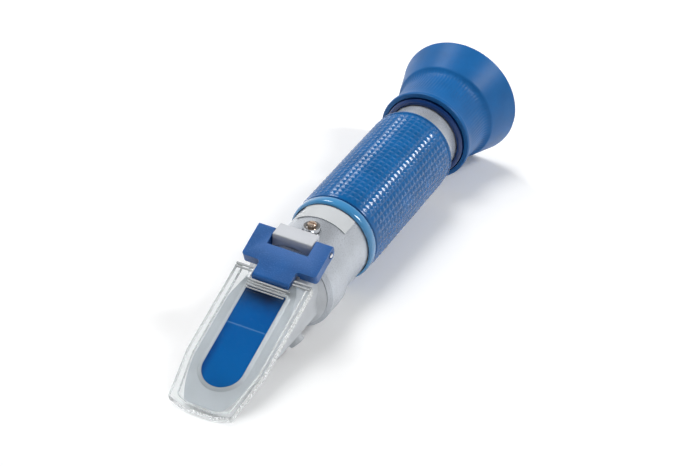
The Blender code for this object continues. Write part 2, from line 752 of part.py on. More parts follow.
def make_daylight_plate(parent):
    notch = TONGUE_HALF_WIDTH + SEAT_GAP
    outline = plate_outline(0, 0, PLATE_EAR_REACH)
    outline += [
        (-notch, PLATE_EAR_REACH),
        (-notch, PLATE_NOTCH_REACH),
        (notch, PLATE_NOTCH_REACH),
        (notch, PLATE_EAR_REACH),
    ]
    corners = {2: PLATE_FRONT_CORNER, 3: HOLDER_CORNER, 4: HOLDER_CORNER, 5: PLATE_FRONT_CORNER}
    shape = prism_of(rounded(plan(outline), corners), level(PLATE_SKIRT_DROP), level(PLATE_TOP_DROP))
    plate = on_slope("daylight_plate", shape, parent)
    soften(plate, PLATE_EDGE, 2)
    inside = plan(plate_outline(PLATE_WALL, PLATE_FRONT_WALL, PLATE_EAR_REACH - OVERRUN))
    inside = rounded(inside, {2: PLATE_FRONT_CORNER, 5: PLATE_FRONT_CORNER})
    hollow = prism_of(inside, level(PLATE_SKIRT_DROP) - OVERRUN, level(PLATE_UNDER_DROP))
    combine(plate, on_slope("hollow", hollow, parent), "DIFFERENCE")
    tab_top = TONGUE_DROP + TAB_GAP
    tab_root = PLATE_NOTCH_REACH + OVERRUN
    tab_points = [
        (TAB_HALF_WIDTH, TAB_REACH),
        (TAB_HALF_WIDTH, tab_root),
        (-TAB_HALF_WIDTH, tab_root),
        (-TAB_HALF_WIDTH, TAB_REACH),
    ]
    tab = prism_of(plan(tab_points), level(tab_top + TAB_DEPTH), level(tab_top))
    combine(plate, on_slope("tab", tab, parent), "UNION")
    return finish(plate, make_material("plate_clear", (0.86, 0.90, 0.90), 0.05, 0.0, 0.9, 0.35))


def make_calibration_screw(fixed, turning):
    bush = [
        (-TUBE_RADIUS + BUSH_DEPTH, BUSH_BORE - SEAT_GAP - RUN_GAP),
        (-TUBE_RADIUS + BUSH_DEPTH, BUSH_RADIUS),
        (-TUBE_RADIUS - BUSH_HEIGHT, BUSH_RADIUS),
        (-TUBE_RADIUS - BUSH_HEIGHT, BUSH_BORE),
        (-TUBE_RADIUS, BUSH_BORE),
        (-TUBE_RADIUS, BUSH_BORE - SEAT_GAP - RUN_GAP),
    ]
    item = make_object("screw_bush", upright(lathe(bush, SMALL_STEPS)), fixed, (0, SCREW_Y, 0))
    finish(item, make_material("bush_chrome", (0.74, 0.74, 0.74), 0.12, 1.0))
    shank = [
        (-SCREW_HEAD_TOP, 0),
        (-SCREW_HEAD_TOP, SCREW_HEAD_RADIUS - SCREW_EDGE),
        (-SCREW_HEAD_TOP + SCREW_EDGE, SCREW_HEAD_RADIUS),
        (-SCREW_HEAD_TOP + SCREW_HEAD_LENGTH - SEAT_GAP, SCREW_HEAD_RADIUS),
        (-SCREW_HEAD_TOP + SCREW_HEAD_LENGTH - SEAT_GAP, SCREW_STEM_RADIUS),
        (-SCREW_TIP_HEIGHT, SCREW_STEM_RADIUS),
        (-SCREW_TIP_HEIGHT, 0),
    ]
    screw = make_object("calibration_screw", upright(lathe(shank, SMALL_STEPS)), turning)
    slot = bmesh.new()
    bmesh.ops.create_cube(slot, size=1)
    size = Vector((SCREW_HEAD_RADIUS * 2 + OVERRUN, SCREW_SLOT_WIDTH, SCREW_SLOT_DEPTH * 2))
    bmesh.ops.scale(slot, vec=size, verts=slot.verts)
    combine(screw, make_object("slot", slot, turning, (0, 0, SCREW_HEAD_TOP)), "DIFFERENCE")
    finish(screw, make_material("screw_brass", (0.62, 0.50, 0.30), 0.28, 1.0))


def lens_profile(station, length, radius, front_crown, rear_crown, steps=3):
    """A lens outline from its front pole round its edge to its rear pole."""
    points = []
    for step in range(steps + 1):
        share = step / steps
        points.append((station + front_crown * share * share, radius * share))
    for step in range(steps + 1):
        share = 1 - step / steps
        points.append((station + length - rear_crown * share * share, radius * share))
    return points


def add_lens(name, parent, station, length, radius, front_crown, rear_crown):
    shape = lathe(lens_profile(station, length, radius, front_crown, rear_crown), BORE_STEPS)
    return add_piece(name, shape, parent, (0.8, 0.88, 0.9), 0.03, 0.0, 0.95)


def make_objective(parent):
    half = CARRIER_LENGTH * HALF
    profile = [
        (-half, CARRIER_BORE - CARRIER_LIP),
        (-half, CARRIER_RADIUS),
        (half, CARRIER_RADIUS),
        (half, CARRIER_BORE),
        (-half + CARRIER_LIP_LENGTH, CARRIER_BORE),
        (-half + CARRIER_LIP_LENGTH, CARRIER_BORE - CARRIER_LIP),
    ]
    carrier = make_object("objective_carrier", lathe(profile, BORE_STEPS), parent)
    low = CARRIER_BORE + SEAT_GAP
    hole = upright_rod(low, CARRIER_RADIUS + OVERRUN, SCREW_STEM_RADIUS + RUN_GAP)
    combine(carrier, make_object("hole", hole, parent), "DIFFERENCE")
    finish(carrier, make_material("carrier_black", (0.03, 0.03, 0.035), 0.5))
    start = -half + CARRIER_LIP_LENGTH + SEAT_GAP
    radius = CARRIER_BORE - SEAT_GAP
    rear_crown = OBJECTIVE_CROWN * HALF
    add_lens("objective_lens", parent, start, OBJECTIVE_LENGTH, radius, OBJECTIVE_CROWN, rear_crown)


def make_temperature_strip(parent):
    outline = [
        (STRIP_FRONT_Y, STRIP_TOP - STRIP_THICKNESS),
        (STRIP_REAR_Y, STRIP_TOP - STRIP_THICKNESS),
        (STRIP_REAR_Y, STRIP_TOP),
        (STRIP_FRONT_Y, STRIP_TOP),
    ]
    add_piece("bimetal_strip", bar_of(outline, STRIP_HALF_WIDTH), parent, (0.55, 0.36, 0.22), 0.35, 1.0)
    low = STRIP_TOP + SEAT_GAP
    outline = [
        (STRIP_REAR_Y - CLAMP_LENGTH, low),
        (STRIP_REAR_Y, low),
        (STRIP_REAR_Y, low + CLAMP_HEIGHT),
        (STRIP_REAR_Y - CLAMP_LENGTH, low + CLAMP_HEIGHT),
    ]
    add_piece("strip_clamp", bar_of(outline, CLAMP_HALF_WIDTH), parent, (0.5, 0.5, 0.52), 0.35, 1.0)


def make_stop_and_reticle(parent):
    outer = TUBE_BORE - SEAT_GAP
    stop = sleeve(STOP_Y, STOP_Y + STOP_LENGTH, STOP_BORE, outer)
    add_piece("field_stop", stop, parent, (0.02, 0.02, 0.02), 0.8)
    end = RETICLE_RING_Y + RETICLE_RING_LENGTH
    step = end - RETICLE_RECESS_LENGTH
    profile = [
        (RETICLE_RING_Y, RETICLE_RING_BORE),
        (RETICLE_RING_Y, outer),
        (end, outer),
        (end, RETICLE_RECESS),
        (step, RETICLE_RECESS),
        (step, RETICLE_RING_BORE),
    ]
    add_piece("reticle_ring", lathe(profile, BORE_STEPS), parent, (0.03, 0.03, 0.03), 0.6)
    start = step + SEAT_GAP
    disc = sleeve(start, start + RETICLE_LENGTH, 0, RETICLE_RECESS - SEAT_GAP)
    add_piece("reticle_glass", disc, parent, (0.85, 0.90, 0.90), 0.03, 0.0, 0.95)


def make_label(parent):
    inner = TUBE_RADIUS + LABEL_GAP
    outer = inner + LABEL_THICKNESS
    outline = []
    for radius, order in ((outer, 1), (inner, -1)):
        for step in range(LABEL_STEPS + 1)[::order]:
            angle = LABEL_HALF_ANGLE * (2 * step / LABEL_STEPS - 1)
            outline.append((radius * math.sin(angle), radius * math.cos(angle)))
    shape = prism_of(outline, LABEL_FRONT_Y, LABEL_REAR_Y)
    turn = Matrix(((1, 0, 0), (0, 0, 1), (0, 1, 0)))
    bmesh.ops.transform(shape, matrix=turn.to_4x4(), verts=shape.verts)
    add_piece("label_plate", shape, parent, (0.80, 0.81, 0.80), 0.4)


def make_grip(parent):
    bore = TUBE_RADIUS + SEAT_GAP
    collar = [
        (0, bore),
        (0, COLLAR_FRONT_RADIUS),
        (COLLAR_ROUND * HALF, COLLAR_RADIUS - COLLAR_ROUND * HALF * HALF),
        (COLLAR_ROUND, COLLAR_RADIUS),
        (COLLAR_LENGTH - COLLAR_ROUND * HALF, COLLAR_RADIUS),
        (COLLAR_LENGTH, COLLAR_RADIUS - COLLAR_ROUND * HALF),
        (COLLAR_LENGTH, bore),
    ]
    add_piece("grip_collar", lathe(collar, ROUND_STEPS), parent, (0.03, 0.22, 0.50), 0.2)
    front = COLLAR_LENGTH + GRIP_GAP
    low = GRIP_RADIUS - GRIP_END_DEPTH
    grip = [
        (front, bore),
        (front, low - GRIP_EDGE),
        (front + GRIP_EDGE, low),
        (front + GRIP_END_BAND, low),
        (front + GRIP_END_BAND + GRIP_END_DEPTH, GRIP_RADIUS),
        (GRIP_REAR_Y - GRIP_END_BAND - GRIP_END_DEPTH, GRIP_RADIUS),
        (GRIP_REAR_Y - GRIP_END_BAND, low),
        (GRIP_REAR_Y - GRIP_EDGE, low),
        (GRIP_REAR_Y, low - GRIP_EDGE),
        (GRIP_REAR_Y, TUBE_RADIUS - TUBE_EDGE),
        (TUBE_STEP_Y + SEAT_GAP, TUBE_RADIUS - TUBE_EDGE),
        (TUBE_STEP_Y + SEAT_GAP, bore),
    ]
    add_piece("rubber_grip", lathe(grip, ROUND_STEPS), parent, (0.012, 0.10, 0.32), 0.5)


def make_key_pin(parent):
    top = REAR_TUBE_RADIUS - SEAT_GAP
    tip = REAR_TUBE_BORE - RUN_GAP - KEY_PIN_REACH
    pin = make_object("key_pin", upright_rod(tip, top, KEY_PIN_RADIUS), parent, (0, KEY_PIN_Y, 0))
    finish(pin, make_material("key_steel", (0.55, 0.55, 0.57), 0.3, 1.0))


def make_barrel(parent):
    outer = REAR_TUBE_BORE - RUN_GAP
    flange = RING_RADIUS - RING_WALL - RUN_GAP
    profile = [
        (BARREL_FRONT_Y, BARREL_BORE - BARREL_LIP),
        (BARREL_FRONT_Y, outer),
        (BARREL_FLANGE_Y, outer),
        (BARREL_FLANGE_Y, flange),
        (BARREL_FLANGE_Y + BARREL_FLANGE_LENGTH, flange),
        (BARREL_FLANGE_Y + BARREL_FLANGE_LENGTH, outer),
        (BARREL_REAR_Y, outer),
        (BARREL_REAR_Y, BARREL_BORE),
        (BARREL_FRONT_Y + BARREL_LIP_LENGTH, BARREL_BORE),
        (BARREL_FRONT_Y + BARREL_LIP_LENGTH, BARREL_BORE - BARREL_LIP),
    ]
    barrel = make_object("lens_barrel", lathe(profile, BORE_STEPS), parent)
    slot = bmesh.new()
    bmesh.ops.create_cube(slot, size=1)
    depth = REAR_TUBE_BORE - BARREL_BORE
    bmesh.ops.scale(slot, vec=(KEY_SLOT_WIDTH, KEY_SLOT_LENGTH, depth), verts=slot.verts)
    floor = BARREL_BORE + (REAR_TUBE_BORE - BARREL_BORE) * HALF * HALF
    combine(barrel, make_object("slot", slot, parent, (0, KEY_PIN_Y, floor + depth * HALF)), "DIFFERENCE")
    finish(barrel, make_material("barrel_black", (0.025, 0.025, 0.03), 0.45, 0.4))
    bore = BARREL_BORE - SEAT_GAP
    start = BARREL_FRONT_Y + BARREL_LIP_LENGTH + SEAT_GAP
    add_lens("field_lens", parent, start, FIELD_LENS_LENGTH, bore, FIELD_LENS_CROWN, 0)
    retainer_y = BARREL_REAR_Y - RETAINER_LENGTH
    eye_y = retainer_y - SEAT_GAP - EYE_LENS_LENGTH
    add_lens("eye_lens", parent, eye_y, EYE_LENS_LENGTH, bore, EYE_LENS_CROWN, EYE_LENS_CROWN)
    first = start + FIELD_LENS_LENGTH + SEAT_GAP
    last = eye_y + EYE_LENS_CROWN - SEAT_GAP
    add_piece("lens_spacer", sleeve(first, last, bore - SPACER_WALL, bore), parent, (0.02, 0.02, 0.02), 0.7)
    ring = sleeve(retainer_y, BARREL_REAR_Y, bore - RETAINER_WALL, bore)
    add_piece("lens_retainer", ring, parent, (0.03, 0.03, 0.03), 0.4, 0.5)


def make_focus_ring(parent):
    bore = REAR_TUBE_RADIUS + RUN_GAP
    recess = RING_RADIUS - RING_WALL
    groove_end = FRICTION_GROOVE_Y + FRICTION_GROOVE_LENGTH
    profile = [
        (RING_FRONT_Y, bore),
        (RING_FRONT_Y, RING_NOSE_RADIUS),
        (RING_FRONT_Y + RING_NOSE_LENGTH, RING_RADIUS),
        (RING_GROOVE_Y, RING_RADIUS),
        (RING_GROOVE_Y, RING_GROOVE_RADIUS),
        (RING_GROOVE_Y + RING_GROOVE_LENGTH, RING_GROOVE_RADIUS),
        (RING_GROOVE_Y + RING_GROOVE_LENGTH, RING_RADIUS),
        (RING_CAP_Y - SEAT_GAP, RING_RADIUS),
        (RING_CAP_Y - SEAT_GAP, recess),
        (RING_RECESS_Y, recess),
        (RING_RECESS_Y, bore),
        (groove_end, bore),
        (groove_end, bore + FRICTION_GROOVE_DEPTH),
        (FRICTION_GROOVE_Y, bore + FRICTION_GROOVE_DEPTH),
        (FRICTION_GROOVE_Y, bore),
    ]
    add_piece("focus_ring", lathe(profile, ROUND_STEPS), parent, (0.008, 0.05, 0.20), 0.25)
    inner = REAR_TUBE_RADIUS + RUN_GAP * HALF
    outer = bore + FRICTION_GROOVE_DEPTH - RUN_GAP * HALF
    low = FRICTION_GROOVE_Y + RUN_GAP * HALF
    high = groove_end - RUN_GAP * HALF
    add_piece("friction_ring", sleeve(low, high, inner, outer), parent, (0.02, 0.02, 0.02), 0.7)
    cap = sleeve(RING_CAP_Y, RING_CAP_Y + RING_CAP_LENGTH, REAR_TUBE_BORE, RING_RADIUS)
    add_piece("ring_cap", cap, parent, (0.02, 0.02, 0.025), 0.4)


def make_eyecup(parent):
    web_y = CUP_BOWL_FLOOR_Y - CUP_WEB
    profile = [
        (CUP_LIP_Y, CUP_SLEEVE_BORE),
        (CUP_LIP_Y, CUP_LIP_RADIUS - CUP_LIP_ROUND),
        (CUP_LIP_Y + CUP_LIP_ROUND, CUP_LIP_RADIUS),
        (CUP_LIP_Y + CUP_LIP_LENGTH, CUP_SLEEVE_RADIUS),
        (CUP_SLEEVE_END_Y, CUP_SLEEVE_RADIUS),
        (CUP_CREASE_Y, CUP_CREASE_RADIUS),
        (CUP_MID_Y, CUP_MID_RADIUS),
        (CUP_RIM_Y - CUP_RIM_ROUND, CUP_RIM_RADIUS),
        (CUP_RIM_Y, CUP_RIM_RADIUS - CUP_RIM_ROUND),
        (CUP_RIM_Y, CUP_RIM_RADIUS - CUP_RIM_FACE),
        (CUP_MID_Y, CUP_BOWL_MID_RADIUS),
        (CUP_BOWL_FLOOR_Y, CUP_BOWL_FOOT_RADIUS),
        (CUP_BOWL_FLOOR_Y, CUP_EYE_HOLE),
        (web_y, CUP_EYE_HOLE),
        (web_y, CUP_SLEEVE_BORE),
    ]
    add_piece("rubber_eyecup", lathe(profile, ROUND_STEPS), parent, (0.010, 0.13, 0.38), 0.42)


def build():
    clear_scene()
    axis = make_anchor("optical_axis", (0, -CENTRE_Y, CUP_RIM_RADIUS))
    cover = make_anchor("cover_hinge_axis", HINGE, axis)
    screw = make_anchor("calibration_axis", (0, SCREW_Y, 0), axis)
    slide = make_anchor("objective_slide", (0, SCREW_Y, 0), axis)
    make_body_tube(axis)
    make_hinge_lug(axis)
    make_hinge_pin(axis)
    make_prism_head(axis)
    make_foot_screws(axis)
    make_prism(axis)
    make_label(axis)
    make_grip(axis)
    make_temperature_strip(axis)
    make_stop_and_reticle(axis)
    make_key_pin(axis)
    make_cover_holder(cover)
    make_daylight_plate(cover)
    make_calibration_screw(axis, screw)
    make_objective(slide)
    make_barrel(axis)
    make_focus_ring(axis)
    make_eyecup(axis)


build()
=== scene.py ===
"""The looks of a handheld refractometer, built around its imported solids.

Sizes are in millimetres on the tube's axis frame: Y runs along the tube from the front edge of the grip
collar to the eyecup, X is across it and Z is up. A station is a place along Y. The cover and the prism lie
on a slope, where a point has a reach down the slope and a drop below the cover's top plane.
"""

import math

import bmesh
import bpy
from mathutils import Matrix, Vector


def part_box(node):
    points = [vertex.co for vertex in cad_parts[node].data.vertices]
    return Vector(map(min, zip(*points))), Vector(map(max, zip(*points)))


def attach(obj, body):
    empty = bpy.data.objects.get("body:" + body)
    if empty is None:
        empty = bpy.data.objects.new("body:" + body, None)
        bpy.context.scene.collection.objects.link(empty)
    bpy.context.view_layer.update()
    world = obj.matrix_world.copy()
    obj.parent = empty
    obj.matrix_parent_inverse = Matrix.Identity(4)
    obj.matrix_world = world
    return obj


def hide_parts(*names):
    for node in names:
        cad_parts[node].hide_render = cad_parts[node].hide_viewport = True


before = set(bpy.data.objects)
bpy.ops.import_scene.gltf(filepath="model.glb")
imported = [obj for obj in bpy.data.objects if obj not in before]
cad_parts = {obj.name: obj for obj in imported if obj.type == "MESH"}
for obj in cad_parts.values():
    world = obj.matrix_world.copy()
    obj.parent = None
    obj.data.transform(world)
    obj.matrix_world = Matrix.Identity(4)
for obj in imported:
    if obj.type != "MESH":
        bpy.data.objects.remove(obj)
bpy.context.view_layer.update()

MM = 0.001
FULL_TURN = 2 * math.pi
QUARTER_TURN = math.pi / 2
AXIS_HEIGHT = 20.0
RIM_Y = 93.7
CENTRE_Y = RIM_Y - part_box("rubber_eyecup")[1].y / MM
ROUND_STEPS = 128

# Angles between faces, in degrees, past which an edge stays sharp
KNURL_EDGE = 24
TURNED_EDGE = 32
CAST_EDGE = 40
GLASS_EDGE = 50

# Slope of the cover and prism
SLOPE_ANGLE = math.radians(22.2)
SLOPE_Y = -18.9
SLOPE_HEIGHT = 18.9
ALONG = math.cos(SLOPE_ANGLE)
DOWN = math.sin(SLOPE_ANGLE)
DOWN_SLOPE = (0.0, -ALONG, -DOWN)
SLOPE_NORMAL = (0.0, -DOWN, ALONG)


def place(x, y, z):
    """A point of the axis frame in the scene."""
    return Vector((x, y - CENTRE_Y, z + AXIS_HEIGHT)) * MM


def slope_point(x, reach, drop):
    """A point on the slope in the scene."""
    y = SLOPE_Y - reach * ALONG + drop * DOWN
    z = SLOPE_HEIGHT - reach * DOWN - drop * ALONG
    return place(x, y, z)


def reach_of(point):
    """How far down the slope a point in the scene lies, in millimetres."""
    y = point.y / MM + CENTRE_Y - SLOPE_Y
    z = point.z / MM - AXIS_HEIGHT - SLOPE_HEIGHT
    return -y * ALONG - z * DOWN


# Pieces and their meshes


def add_piece(name, shape, body, material, replaced=(), sharp=TURNED_EDGE, flats=False):
    """Puts a mesh in the scene as a piece that rides on a body, shading its flats level if asked."""
    mesh = bpy.data.meshes.new(name)
    shape.to_mesh(mesh)
    shape.free()
    piece = bpy.data.objects.new(name, mesh)
    bpy.context.scene.collection.objects.link(piece)
    mesh.materials.append(material)
    mesh.shade_smooth()
    mesh.set_sharp_from_angle(angle=math.radians(sharp))
    if flats:
        weighted = piece.modifiers.new("flats", "WEIGHTED_NORMAL")
        weighted.keep_sharp = True
    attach(piece, body)
    if replaced:
        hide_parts(*replaced)


def add_ring(shape, station, radii):
    """Points round the tube's axis at one station, each at its own radius."""
    ring = []
    for index, radius in enumerate(radii):
        angle = FULL_TURN * index / len(radii)
        ring.append(shape.verts.new(place(radius * math.sin(angle), station, radius * math.cos(angle))))
    return ring


def join_rings(shape, first, second):
    """The band of faces between two closed rings of as many points."""
    for index in range(len(first)):
        after = (index + 1) % len(first)
        shape.faces.new((first[index], first[after], second[after], second[index]))


def turned(profile, steps):
    """A ring turned about the tube's axis from a closed profile of (station, radius) pairs."""
    shape = bmesh.new()
    rings = [add_ring(shape, station, [radius] * steps) for station, radius in profile]
    for first, second in zip(rings, rings[1:] + rings[:1]):
        join_rings(shape, first, second)
    bmesh.ops.recalc_face_normals(shape, faces=shape.faces)
    return shape


def stacked(loops, filled):
    """A skin over loops of points, each above the last, with its ends filled or else joined as a ring."""
    shape = bmesh.new()
    rings = [[shape.verts.new(point) for point in loop] for loop in loops]
    for low, high in zip(rings, rings[1:]):
        join_rings(shape, low, high)
    if filled:
        shape.faces.new(list(reversed(rings[0])))
        shape.faces.new(rings[-1])
    else:
        join_rings(shape, rings[-1], rings[0])
    bmesh.ops.recalc_face_normals(shape, faces=shape.faces)
    return shape


CUT_SHARE = 0.25
CUT_ROUNDS = 2


def eased(points, sharp):
    """Cuts the corners of a closed profile again and again, apart from the sharp ones."""
    keep = [index in sharp for index in range(len(points))]
    for _ in range(CUT_ROUNDS):
        result = []
        result_keep = []
        for index, point in enumerate(points):
            if keep[index]:
                result.append(point)
                result_keep.append(True)
                continue
            for other in (points[index - 1], points[(index + 1) % len(points)]):
                result.append(tuple(p + (o - p) * CUT_SHARE for p, o in zip(point, other)))
                result_keep.append(False)
        points = result
        keep = result_keep
    return points


MERGE_DISTANCE = 0.002
FLAT_ANGLE = math.radians(0.6)
BEVEL_ANGLE = math.radians(28)


def refined(node, width, segments, change):
    """A copy of a CAD node's mesh with its flats joined, its points changed and its edges rounded."""
    shape = bmesh.new()
    shape.from_mesh(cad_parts[node].data)
    bmesh.ops.remove_doubles(shape, verts=shape.verts, dist=MERGE_DISTANCE * MM)
    bmesh.ops.dissolve_limit(shape, angle_limit=FLAT_ANGLE, verts=shape.verts, edges=shape.edges)
    if change:
        for vertex in shape.verts:
            change(vertex)
    if width:
        edges = [e for e in shape.edges if len(e.link_faces) == 2 and e.calc_face_angle(0) > BEVEL_ANGLE]
        bmesh.ops.bevel(shape, geom=edges, offset=width * MM, segments=segments, profile=0.5,
                        affect="EDGES", clamp_overlap=True, harden_normals=False)
    return shape


# Shader nodes


def start_material(name, colour, roughness, settings, metallic=0.0):
    material = bpy.data.materials.new(name)
    material.use_nodes = True
    tree = material.node_tree
    shader = tree.nodes["Principled BSDF"]
    shader.inputs["Base Color"].default_value = (*colour, 1)
    shader.inputs["Roughness"].default_value = roughness
    shader.inputs["Metallic"].default_value = metallic
    for socket, value in settings.items():
        shader.inputs[socket].default_value = value
    return material, tree, shader


def add_coordinates(tree, output="Object"):
    return tree.nodes.new("ShaderNodeTexCoord").outputs[output]


def add_noise(tree, coordinates, scale, detail, stretch=(1, 1, 1)):
    mapping = tree.nodes.new("ShaderNodeMapping")
    mapping.inputs["Scale"].default_value = stretch
    tree.links.new(coordinates, mapping.inputs["Vector"])
    noise = tree.nodes.new("ShaderNodeTexNoise")
    noise.inputs["Scale"].default_value = scale
    noise.inputs["Detail"].default_value = detail
    tree.links.new(mapping.outputs["Vector"], noise.inputs["Vector"])
    return noise.outputs["Fac"]


def add_range(tree, value, low, high, start=0.3, end=0.7):
    """A value that goes from low to high while its input goes from start to end."""
    node = tree.nodes.new("ShaderNodeMapRange")
    node.inputs["From Min"].default_value = start
    node.inputs["From Max"].default_value = end
    node.inputs["To Min"].default_value = low
    node.inputs["To Max"].default_value = high
    tree.links.new(value, node.inputs["Value"])
    return node.outputs["Result"]


def add_math(tree, operation, *values):
    """The result of an operation on sockets and plain numbers."""
    node = tree.nodes.new("ShaderNodeMath")
    node.operation = operation
    for socket, value in zip(node.inputs, values):
        if isinstance(value, float):
            socket.default_value = value
        else:
            tree.links.new(value, socket)
    return node.outputs["Value"]


def add_dot(tree, vector, direction):
    node = tree.nodes.new("ShaderNodeVectorMath")
    node.operation = "DOT_PRODUCT"
    node.inputs[1].default_value = direction
    tree.links.new(vector, node.inputs[0])
    return node.outputs["Value"]


def add_mix(tree, factor, first, second):
    """A colour between two colours or sockets."""
    node = tree.nodes.new("ShaderNodeMix")
    node.data_type = "RGBA"
    tree.links.new(factor, node.inputs["Factor"])
    for socket, value in ((node.inputs["A"], first), (node.inputs["B"], second)):
        if isinstance(value, tuple):
            socket.default_value = (*value, 1)
        else:
            tree.links.new(value, socket)
    return node.outputs["Result"]


def add_bump(tree, shader, height, strength, distance):
    bump = tree.nodes.new("ShaderNodeBump")
    bump.inputs["Strength"].default_value = strength
    bump.inputs["Distance"].default_value = distance * MM
    tree.links.new(height, bump.inputs["Height"])
    tree.links.new(bump.outputs["Normal"], shader.inputs["Normal"])


def add_mirror_rays(tree, path):
    """One for a ray that a shiny or clear surface sends on, else zero."""
    return add_math(tree, "MAXIMUM", path.outputs["Is Glossy Ray"], path.outputs["Is Transmission Ray"])


# Finishes: scales of noise are per metre, and ranges are those of the noise that they read
SLOW_SCALE = 140.0
SLOW_DETAIL = 3.0
GRAIN_DETAIL = 5.0
GRAIN_STRENGTH = 0.6
GRAIN_RANGE = (0.25, 0.75)
SPECK_RANGE = (0.56, 0.70)
SPECK_GAIN = (1.5, 0.05)
# Painted highlights on sharp edges: the pointiness over which they come in, and how much paler they make the
# colour
EDGE_HIGHLIGHT_RANGE = (0.52, 0.62)
EDGE_HIGHLIGHT_GAIN = (1.6, 0.12)
PALE_SHARE = 1.15


def shaded(colour, factor, lift=0.0):
    """A colour made darker or paler by a factor and a lift."""
    return tuple(min(1.0, c * factor + lift) for c in colour)


def make_finish(name, colour, roughness, grain, depth, metallic=0.0, tint=0.10, spread=0.05,
                stretch=(1, 1, 1), edge=0.0, speckle=0.0, **settings):
    """A finish with a fine grain, a slow change of colour, and pale specks and painted highlights along its
    edges if asked.
    """
    sockets = {key.replace("_", " "): value for key, value in settings.items()}
    material, tree, shader = start_material(name, colour, roughness, sockets, metallic)
    coordinates = add_coordinates(tree)
    slow = add_noise(tree, coordinates, SLOW_SCALE, SLOW_DETAIL, stretch)
    fine = add_noise(tree, coordinates, grain, GRAIN_DETAIL, stretch)
    dark = shaded(colour, 1 - tint)
    pale = shaded(colour, 1 + PALE_SHARE * tint)
    shade = add_mix(tree, add_range(tree, slow, 0.0, 1.0), dark, pale)
    if speckle:
        specks = add_range(tree, fine, 0.0, speckle, *SPECK_RANGE)
        shade = add_mix(tree, specks, shade, shaded(colour, *SPECK_GAIN))
    # Paints highlights along sharp edges as a paler colour
    if edge:
        geometry = tree.nodes.new("ShaderNodeNewGeometry")
        edge_highlight = add_range(tree, geometry.outputs["Pointiness"], 0.0, edge, *EDGE_HIGHLIGHT_RANGE)
        shade = add_mix(tree, edge_highlight, shade, shaded(colour, *EDGE_HIGHLIGHT_GAIN))
    tree.links.new(shade, shader.inputs["Base Color"])
    rough = add_range(tree, fine, roughness - spread, roughness + spread, *GRAIN_RANGE)
    tree.links.new(rough, shader.inputs["Roughness"])
    add_bump(tree, shader, fine, GRAIN_STRENGTH, depth)
    return material


def let_light_through(tree, shader):
    """Lets lamps light what lies behind a clear piece."""
    output = tree.nodes["Material Output"]
    path = tree.nodes.new("ShaderNodeLightPath")
    clear = tree.nodes.new("ShaderNodeBsdfTransparent")
    clear.inputs["Color"].default_value = SHADOW_TINT
    mix = tree.nodes.new("ShaderNodeMixShader")
    tree.links.new(path.outputs["Is Shadow Ray"], mix.inputs[0])
    tree.links.new(shader.outputs["BSDF"], mix.inputs[1])
    tree.links.new(clear.outputs["BSDF"], mix.inputs[2])
    tree.links.new(mix.outputs["Shader"], output.inputs["Surface"])


# Wiping marks and cloudiness of clear pieces, and the milkiness and casting marks of their sides
SHADOW_TINT = (0.95, 0.96, 0.96, 1)
MARK_SCALE = 700.0
MARK_DETAIL = 4.0
MARK_STRETCH = (1.0, 0.12, 1.0)
MARK_RANGE = (0.35, 0.80)
MARK_ROUGHNESS = 0.03
MARK_STRENGTH = 0.4
CLOUD_SCALE = 90.0
CLOUD_DETAIL = 2.0
DULL_SHARE = 0.97
CAST_SCALE = 1500.0
CAST_DETAIL = 5.0
SIDE_RANGE = (0.55, 0.97)
SIDE_ROUGHNESS = (0.08, 0.34)


def add_milky_sides(tree, shader, coordinates, rough, milk):
    """Makes the faces that turn away from the slope milky, and returns the roughness with theirs added."""
    facing = add_math(tree, "ABSOLUTE", add_dot(tree, add_coordinates(tree, "Normal"), SLOPE_NORMAL))
    side = add_range(tree, facing, 1.0, 0.0, *SIDE_RANGE)
    clear = add_math(tree, "MULTIPLY_ADD", side, -milk, 1.0)
    tree.links.new(clear, shader.inputs["Transmission Weight"])
    cast = add_noise(tree, coordinates, CAST_SCALE, CAST_DETAIL)
    return add_math(tree, "MULTIPLY_ADD", side, add_range(tree, cast, *SIDE_ROUGHNESS), rough)


def make_glass(name, tint, roughness, ior, scratch, milk=0.0):
    """Clear plastic or glass with faint wiping marks."""
    material, tree, shader = start_material(name, tint, roughness, {"Transmission Weight": 1.0, "IOR": ior})
    coordinates = add_coordinates(tree)
    marks = add_noise(tree, coordinates, MARK_SCALE, MARK_DETAIL, MARK_STRETCH)
    slow = add_noise(tree, coordinates, CLOUD_SCALE, CLOUD_DETAIL)
    dull = shaded(tint, DULL_SHARE)
    shade = add_mix(tree, add_range(tree, slow, 0.0, 1.0), dull, tint)
    tree.links.new(shade, shader.inputs["Base Color"])
    rough = add_range(tree, marks, roughness, roughness + MARK_ROUGHNESS, *MARK_RANGE)
    if milk:
        rough = add_milky_sides(tree, shader, coordinates, rough, milk)
    tree.links.new(rough, shader.inputs["Roughness"])
    add_bump(tree, shader, marks, MARK_STRENGTH, scratch)
    let_light_through(tree, shader)
    return material


# The prism's colours, with its painted shade and painted reflections, and the places across it and down the
# slope where they change
PRISM_BLUE = (0.0, 0.135, 0.45)
PRISM_PALER = (0.0, 0.15, 0.48)
PRISM_SIDE = (0.002, 0.05, 0.24)
PRISM_SIDE_RANGE = (-5.6, -3.9)
# Painted shade toward the rear, then a painted dark reflection nearest the holder: the reaches over which
# each fades out, and its colour
PRISM_PAINTED_SHADE_AND_REFLECTION = (
    (31.0, 52.0, (0.001, 0.098, 0.37)),
    (26.0, 32.5, (0.010, 0.028, 0.085)),
)
